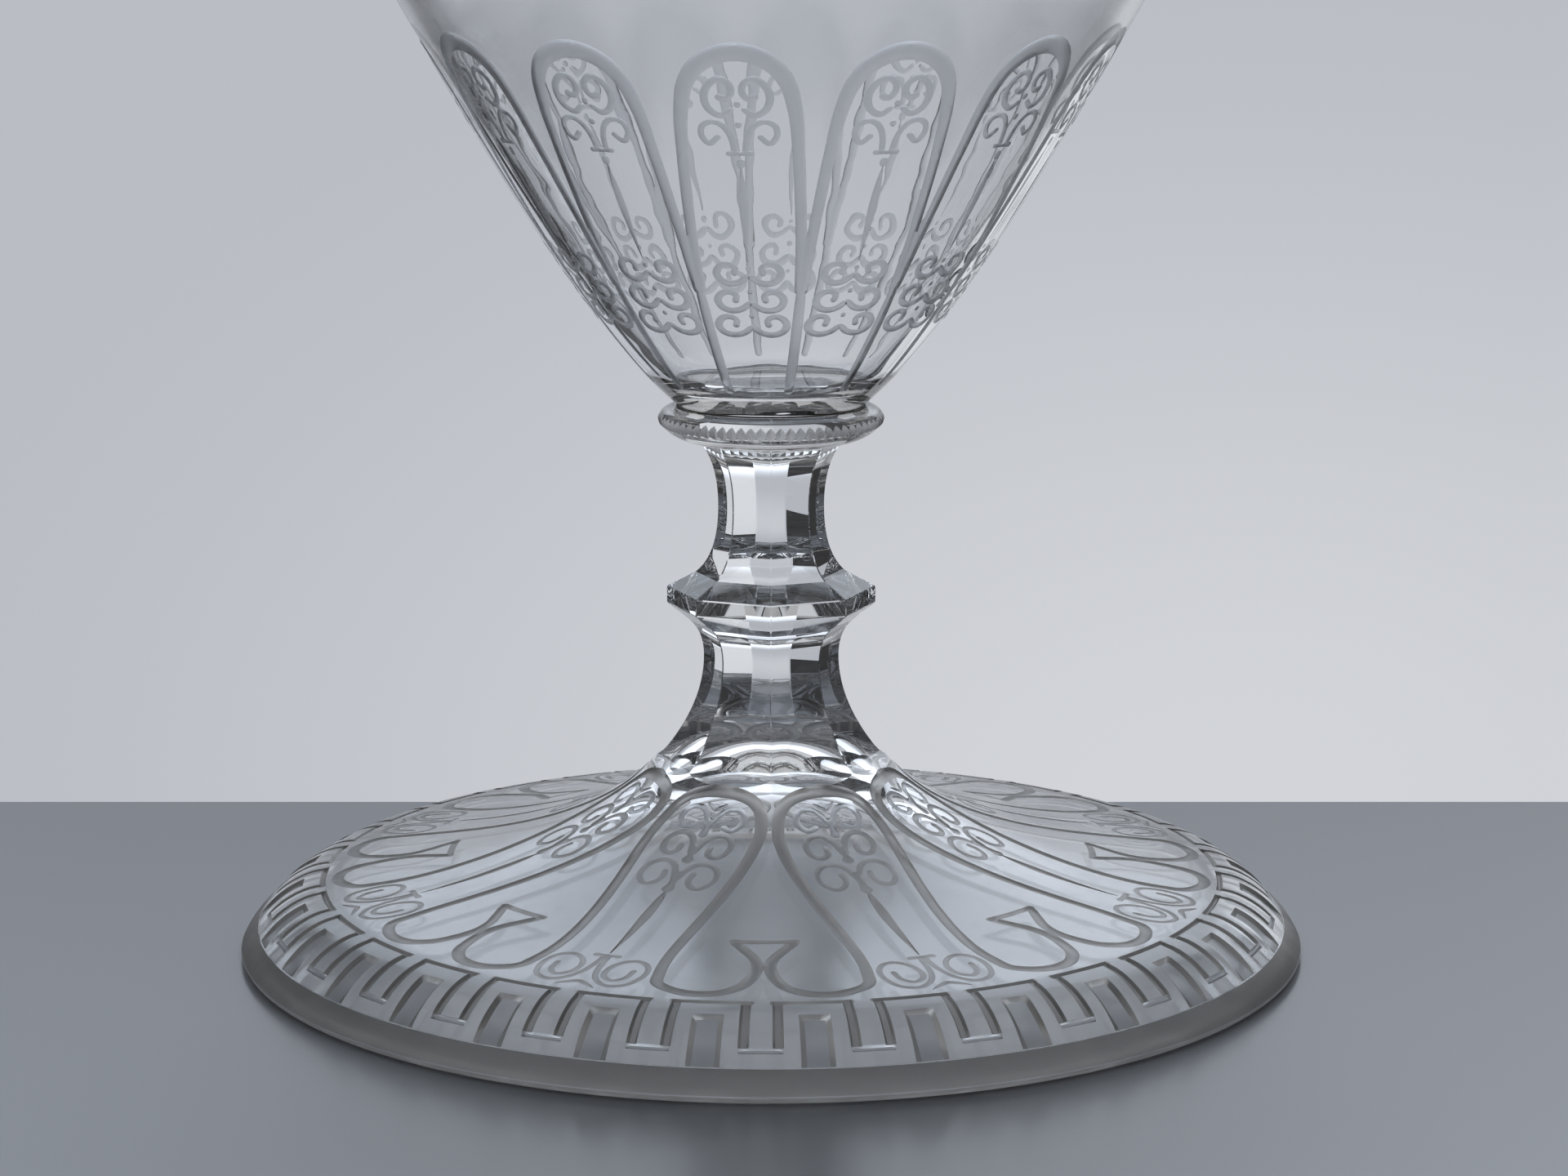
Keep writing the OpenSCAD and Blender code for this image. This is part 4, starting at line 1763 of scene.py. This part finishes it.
@dataclass
class Bowl:
    """The conical bowl with its engraved loops and frosted ground, in millimetres."""

    node: str = "bowl"
    loops: int = 14
    columns: int = 7
    hand: Hand = Hand(-5.3, 0.038)
    base_radius: float = 11.3
    cone_radius: float = 43.6
    cone_height: float = 47.5
    lip_radius: float = 59.0
    wall: float = 2.4
    floor: float = 3.4
    floor_fillet: float = 2.0
    base_rise: float = 39.0
    cone_rise: float = 61.0
    lip_rise: float = 86.0
    base_pull: float = 12.5
    cone_pull: float = 20.5
    wall_pull: float = 21.0
    lip_pull: float = 27.0
    stretch: Stretch = Stretch((4.2, 12.0, 22.4, 34.0, 53.0), (5.08, 13.1, 23.83, 35.81, 55.45))
    groove: float = 0.22
    fine_groove: float = 0.15

    @property
    def half_angle(self) -> float:
        """Gives half of one loop's share of the turn."""
        return TURN / self.loops / 2

    def cone(self) -> Array:
        """Draws the outer side from the base to the end of the cone.

        Returns:
            The outline.
        """
        base = np.array([self.base_radius, node_levels(self.node)[0]])
        end = np.array([self.cone_radius, base[1] + self.cone_height])
        leave, arrive = self.base_pull * unit(self.base_rise), self.cone_pull * unit(self.cone_rise)
        return bezier([base, base + leave, end - arrive, end], 160)

    def upper_wall(self) -> Array:
        """Draws the outer side from the cone to the lip.

        Returns:
            The outline.
        """
        low, high = node_levels(self.node)
        start = np.array([self.cone_radius, low + self.cone_height])
        drop = self.wall / 2 * (1 + math.cos(math.radians(self.lip_rise)))
        lip = np.array([self.lip_radius, high - drop])
        leave, arrive = self.wall_pull * unit(self.cone_rise), self.lip_pull * unit(self.lip_rise)
        return bezier([start, start + leave, lip - arrive, lip], 28)

    def inside(self) -> Array:
        """Draws the inner side from the lip down to the floor's middle.

        Returns:
            The outline.
        """
        outer = Profile(strung(self.cone()[::4], self.upper_wall()), Side.RIGHT)
        shifted = outer.points - self.wall * outer.normals
        floor = node_levels(self.node)[0] + self.floor
        line = shifted[shifted[:, 1] > floor + self.floor_fillet]
        heading = (line[1] - line[0]) / np.linalg.norm(line[1] - line[0])
        meet = line[0] + heading * (floor - line[0, 1]) / heading[1]
        fillet = bezier([line[0], meet, meet - [self.floor_fillet, 0]], 8)
        flat = np.linspace(fillet[-1], (0.0, floor), 6)
        return strung(line[::-1], fillet, flat)

    def loop_path(self) -> Path:
        """Draws one side of a loop, from its top to where it meets its neighbour.

        Returns:
            The path.
        """
        return (
            (-1.2, 51.7), (0.0, 51.85), (2.4, 51.3), (4.3, 49.9), (5.5, 47.8), (6.05, 45.0), (6.25, 39.0),
            (6.15, 32.6), (5.9, 26.4), (5.62, 22.6), (5.45, 20.2),
        )

    def cuts(self, profile: Profile) -> list[Cut]:
        """Draws the loops and the ornament in them.

        Args:
            profile: The cone's outline.

        Returns:
            The cuts of a half sector.
        """
        fine = self.fine_groove

        def edge(run: float) -> Pair:
            """Gives the sector's edge at a run."""
            return self.half_angle * float(profile.radius_at(self.stretch.laid(run))), run

        widths = (2.4, 2.4, 2.3, 2.1, 1.85, 1.65, 1.4, 1.3, 1.2, 1.15, 1.1)
        loop = Stroke(self.loop_path(), widths, self.groove, step=0.6)
        stalk = Stroke(tuple(edge(run) for run in (22.4, 18.0, 12.0, 7.0, 4.2)), (0.8, 1.15, 1.2, 1.15, 1.0),
                       self.groove, step=0.8)
        cuts: list[Cut] = [
            loop,
            stalk,
            Stroke(((0.75, 44.6), (1.7, 43.9), (2.9, 44.5), (3.5, 46.0), (3.0, 47.7), (1.8, 48.5),
                    (0.75, 47.8), (0.65, 46.6), (1.3, 45.95), (1.85, 46.2)),
                   (0.7, 0.8, 0.85, 0.9, 0.9, 0.85, 0.8, 0.8, 0.8, 0.95), fine, step=0.34),
            Stroke(((0.6, 39.4), (0.75, 40.6), (1.15, 41.8), (1.95, 42.8), (2.9, 43.1), (3.85, 42.6),
                    (4.05, 41.4), (3.2, 40.3), (2.3, 41.1)), 0.72, fine, step=0.34),
            Stroke(((-0.6, 39.0), (0.0, 39.0), (0.6, 39.0), (1.2, 39.0)), (0.55, 0.55, 0.6, 0.7), fine),
            Stroke(((0, 37.1), (0, 34.6), (0, 32.0), (0, 28.0), (0, 24.4)), (0.1, 0.75, 1.0, 0.6, 0.1), fine),
            Stroke(((0, 37.85), (0, 37.55)), 0.95, fine),
        ]
        for foot, reach in ((21.1, 3.55), (17.15, 3.65), (13.5, 3.8)):
            cuts.append(Stroke(
                ((-0.7, foot + 0.75), (0.0, foot + 1.25), (0.9, foot + 0.5), (2.0, foot + 0.15),
                 (reach - 0.35, foot + 0.75), (reach, foot + 1.75), (reach - 0.6, foot + 2.75),
                 (reach - 1.4, foot + 2.9), (reach - 2.1, foot + 2.35), (reach - 2.0, foot + 1.65)),
                (0.8, 0.8, 0.85, 0.9, 0.9, 0.9, 0.85, 0.8, 0.75, 0.8), fine, step=0.34,
            ))
        for run, size in ((45.3, 0.75), (42.7, 0.75), (23.4, 0.6), (20.1, 0.6), (16.5, 0.6)):
            cuts.append(Stroke(((0, run - 0.05), (0, run + 0.05)), size, fine))
        return [replace(cut, finish=Finish.PALE) for cut in cuts]

    def ground(self, profile: Profile) -> Callable[[Array], Array]:
        """Tells frosted ground from the clear glass in a loop.

        Args:
            profile: The cone's outline.

        Returns:
            A function from spots of the map to finishes.
        """
        path = smooth_line(np.array(self.loop_path()[1:], float), 0.5)
        runs = self.stretch.laid(path[::-1, 1])
        reach = path[::-1, 0] / profile.radius_at(runs)

        def finish(spots: Array) -> Array:
            """Gives the finish at each spot.

            Args:
                spots: Spots of the map.

            Returns:
                Their finishes.
            """
            run = np.interp(spots[:, 1], profile.flat, profile.run)
            limit = np.interp(run, runs, reach, left=self.half_angle, right=0)
            return np.where(spots[:, 0] < limit, Finish.CLEAR, Finish.FROST)

        return finish

    def build(self, dresser: Dresser) -> bpy.types.Object:
        """Builds and dresses the bowl.

        Args:
            dresser: Holds the materials.

        Returns:
            The piece.
        """
        profile = Profile(self.cone(), Side.RIGHT)
        side = EngravedSide(
            profile, self.half_angle, self.stretch, self.cuts(profile), self.columns, self.ground(profile)
        )
        cone, base_angles, wall_angles = side.build()
        upper, inner = self.upper_wall(), self.inside()
        middle, reach = (upper[-1] + inner[0]) / 2, (upper[-1] - inner[0]) / 2
        turn = np.linspace(0, math.pi, 13)[:, None]
        lip = middle + reach * np.cos(turn) + self.wall / 2 * unit(self.lip_rise) * np.sin(turn)
        base = round_rim(self.base_radius, base_angles)
        sector = Patch.joined(
            cone,
            disc(base, node_levels(self.node)[0], False, Finish.JOINT),
            revolved(Profile(upper, Side.RIGHT), wall_angles, Finish.FROST),
            revolved(Profile(lip, Side.RIGHT), wall_angles, Finish.CLEAR),
            revolved(Profile(inner, Side.RIGHT), wall_angles, Finish.WAVED),
        )
        ring = Ring(self.loops, -TURN / 4 + math.radians(self.hand.turn))
        return dresser.dress(self.node, "engraved_bowl", sector, ring, hand=self.hand)


@dataclass
class Studio:
    """The table, the bright backdrop behind it, the dim room and the camera, in metres."""

    table_edge: float = 0.0678
    table_reach: float = 3.0
    table_drop: float = 0.00005
    table_colour: Colour = (0.25, 0.267, 0.295)
    table_rough: Pair = (0.22, 0.28)
    table_cloud: float = 9.0
    table_shine: Pair = (0.6, 0.2)
    shine_reach: Pair = (-0.12, 0.08)
    # Painted light: under the foot the table's colour is scaled up by this much, in place of light gathered
    # through the glass
    painted_light: float = 2.4
    painted_light_reach: Pair = (0.040, 0.061)
    # Painted shadow: in front of the foot the table's colour is scaled down to this, a shadow painted into
    # the colour, not cast
    painted_shadow: float = 0.5
    painted_shadow_centre: Place = (0.0, -0.072, 0.0)
    painted_shadow_reach: float = 0.085
    backdrop_distance: float = 1.2
    backdrop_left: float = -0.66
    backdrop_right: float = 0.85
    backdrop_low: float = -0.8
    backdrop_high: float = 1.3
    glow_centre: Pair = (0.20, -0.29)
    glow_flatness: float = 1.6
    glow_reach: float = 0.64
    glow: Colour = (0.645, 0.66, 0.695)
    glow_edge: Colour = (0.49, 0.508, 0.552)
    upper: Colour = (1.12, 1.22, 1.37)
    upper_right: Colour = (1.48, 1.59, 1.76)
    upper_reach: Pair = (-0.35, 0.45)
    upper_levels: Pair = (0.16, 0.56)
    right: Colour = (0.74, 0.76, 0.80)
    right_reach: Pair = (0.315, 0.51)
    room: Colour = (0.035, 0.035, 0.036)
    ceiling: Colour = (0.60, 0.615, 0.64)
    ceiling_reach: Pair = (0.45, 0.85)
    camera_place: Place = (0.00156, -0.4732, 0.1379)
    camera_pitch: float = 11.22
    lens: float = 91.1
    sensor: float = 36.0
    nearest: float = 0.01
    glass_bounces: int = 32
    mirror_bounces: int = 12
    open_bounces: int = 16

    @staticmethod
    def plane(name: str, corners: list[Place]) -> bpy.types.Object:
        """Makes a four-cornered stage piece.

        Args:
            name: Its name.
            corners: Its corners in order.

        Returns:
            The piece.
        """
        mesh = bpy.data.meshes.new(name)
        mesh.from_pydata(corners, [], [(0, 1, 2, 3)])
        piece = bpy.data.objects.new(name, mesh)
        bpy.context.scene.collection.objects.link(piece)
        return piece

    def table(self) -> None:
        """Lays the satin grey table, whose colour is brightened by painted light under the foot and darkened
        by a painted shadow in front of it.
        """
        reach, edge, drop = self.table_reach, self.table_edge, -self.table_drop
        near = [(-reach, -reach, drop), (reach, -reach, drop)]
        far = [(reach, edge, drop), (-reach, edge, drop)]
        piece = self.plane("table", near + far)
        material, shader, bench = principled("table_satin", {})
        spot = bench.get("ShaderNodeTexCoord", output="Object")
        rough = bench.remap(bench.noise(spot, self.table_cloud, 3.0), (0.0, 1.0), self.table_rough)
        # Painted light and shade: the table's colour is scaled up under the foot and down in a painted shadow
        # in front of it
        painted_tones = []
        for centre, reach, there in (
            ((0.0, 0.0, 0.0), self.painted_light_reach, self.painted_light),
            (self.painted_shadow_centre, (0.0, self.painted_shadow_reach), self.painted_shadow),
        ):
            away = bench.get("ShaderNodeVectorMath", {0: spot, 1: centre}, "Value", operation="DISTANCE")
            painted_tones.append(bench.remap(away, reach, (there, 1.0), smooth=True))
        share = bench.get("ShaderNodeMath", dict(enumerate(painted_tones)), operation="MULTIPLY")
        scaled = {0: self.table_colour, "Scale": share}
        depth = bench.get("ShaderNodeSeparateXYZ", {0: spot}, "Y")
        bench.feed(shader, {
            "Base Color": bench.get("ShaderNodeVectorMath", scaled, operation="SCALE"),
            "Roughness": rough,
            "Specular IOR Level": bench.remap(depth, self.shine_reach, self.table_shine),
        })
        piece.data.materials.append(material)

    def backdrop(self) -> None:
        """Hangs the bright backdrop, which glows behind the stem, above the frame and on the right."""
        left, right, far = self.backdrop_left, self.backdrop_right, self.backdrop_distance
        low, high = self.backdrop_low, self.backdrop_high
        lower, upper = [(left, far, low), (right, far, low)], [(right, far, high), (left, far, high)]
        piece = self.plane("backdrop", lower + upper)
        material = bpy.data.materials.new("backdrop_glow")
        material.use_nodes = True
        tree = material.node_tree
        tree.nodes.clear()
        bench = NodeBench(tree)
        spot = bench.get("ShaderNodeTexCoord", output="Object")
        flatness = self.glow_flatness
        flat = bench.get("ShaderNodeVectorMath", {0: spot, 1: (1, 1, flatness)}, operation="MULTIPLY")
        centre = (self.glow_centre[0], far, self.glow_centre[1] * flatness)
        distance = bench.get("ShaderNodeVectorMath", {0: flat, 1: centre}, "Value", operation="DISTANCE")
        part = bench.add("ShaderNodeSeparateXYZ", {0: spot}).outputs
        sideways, upward = part["X"], part["Z"]
        outward = bench.remap(distance, (0.0, self.glow_reach), smooth=True)
        colour = bench.mix(outward, self.glow, self.glow_edge)
        colour = bench.mix(bench.remap(sideways, self.right_reach, smooth=True), colour, self.right)
        above = bench.mix(bench.remap(sideways, self.upper_reach, smooth=True), self.upper, self.upper_right)
        colour = bench.mix(bench.remap(upward, self.upper_levels, smooth=True), colour, above)
        light = bench.get("ShaderNodeEmission", {"Color": colour, "Strength": 1.0})
        bench.add("ShaderNodeOutputMaterial", {"Surface": light})
        piece.data.materials.append(material)

    def light(self) -> None:
        """Sets the dim room with a soft pale ceiling."""
        world = bpy.data.worlds.new("room")
        world.use_nodes = True
        bench = NodeBench(world.node_tree)
        heading = bench.get("ShaderNodeTexCoord", output="Generated")
        up = bench.get("ShaderNodeSeparateXYZ", {0: heading}, "Z")
        colour = bench.mix(bench.remap(up, self.ceiling_reach, smooth=True), self.room, self.ceiling)
        bench.feed(world.node_tree.nodes["Background"], {"Color": colour})
        bpy.context.scene.world = world

    def camera(self) -> None:
        """Sets the camera where the photograph was taken from."""
        data = bpy.data.cameras.new("camera")
        data.lens = self.lens
        data.sensor_width = self.sensor
        data.clip_start = self.nearest
        piece = bpy.data.objects.new("camera", data)
        piece.location = self.camera_place
        piece.rotation_euler = (math.radians(90 - self.camera_pitch), 0, 0)
        bpy.context.scene.collection.objects.link(piece)
        bpy.context.scene.camera = piece

    def tune(self) -> None:
        """Lets light pass through many glass faces and keeps the colours plain."""
        scene = bpy.context.scene
        scene.view_settings.view_transform = "Standard"
        scene.cycles.max_bounces = self.glass_bounces
        scene.cycles.transmission_bounces = self.glass_bounces
        scene.cycles.glossy_bounces = self.mirror_bounces
        scene.cycles.transparent_max_bounces = self.open_bounces

    def build(self) -> None:
        """Builds the studio."""
        self.camera()
        self.table()
        self.backdrop()
        self.light()
        self.tune()


def main() -> None:
    """Builds the goblet from its foot up and sets the studio."""
    logging.basicConfig(level=logging.INFO, format="%(name)s %(message)s")
    Studio().build()
    dresser = Dresser()
    pieces = [
        Foot(),
        WaistedLength("lower_stem", "lower_stem_length", low_radius=12.8, waist_radius=8.25, waist_rise=11.5,
                      top_radius=9.9, low_meet=0.50, top_meet=0.35),
        Knop("knop", "knop_disc"),
        WaistedLength("upper_stem", "upper_stem_length", low_radius=9.2, waist_radius=6.45, waist_rise=8.2,
                      top_radius=8.9, low_meet=0.26, top_meet=0.32),
        Collar(),
        CementSeam(),
        Bowl(),
    ]
    for piece in pieces:
        piece.build(dresser)


if __name__ == "__main__":
    main()
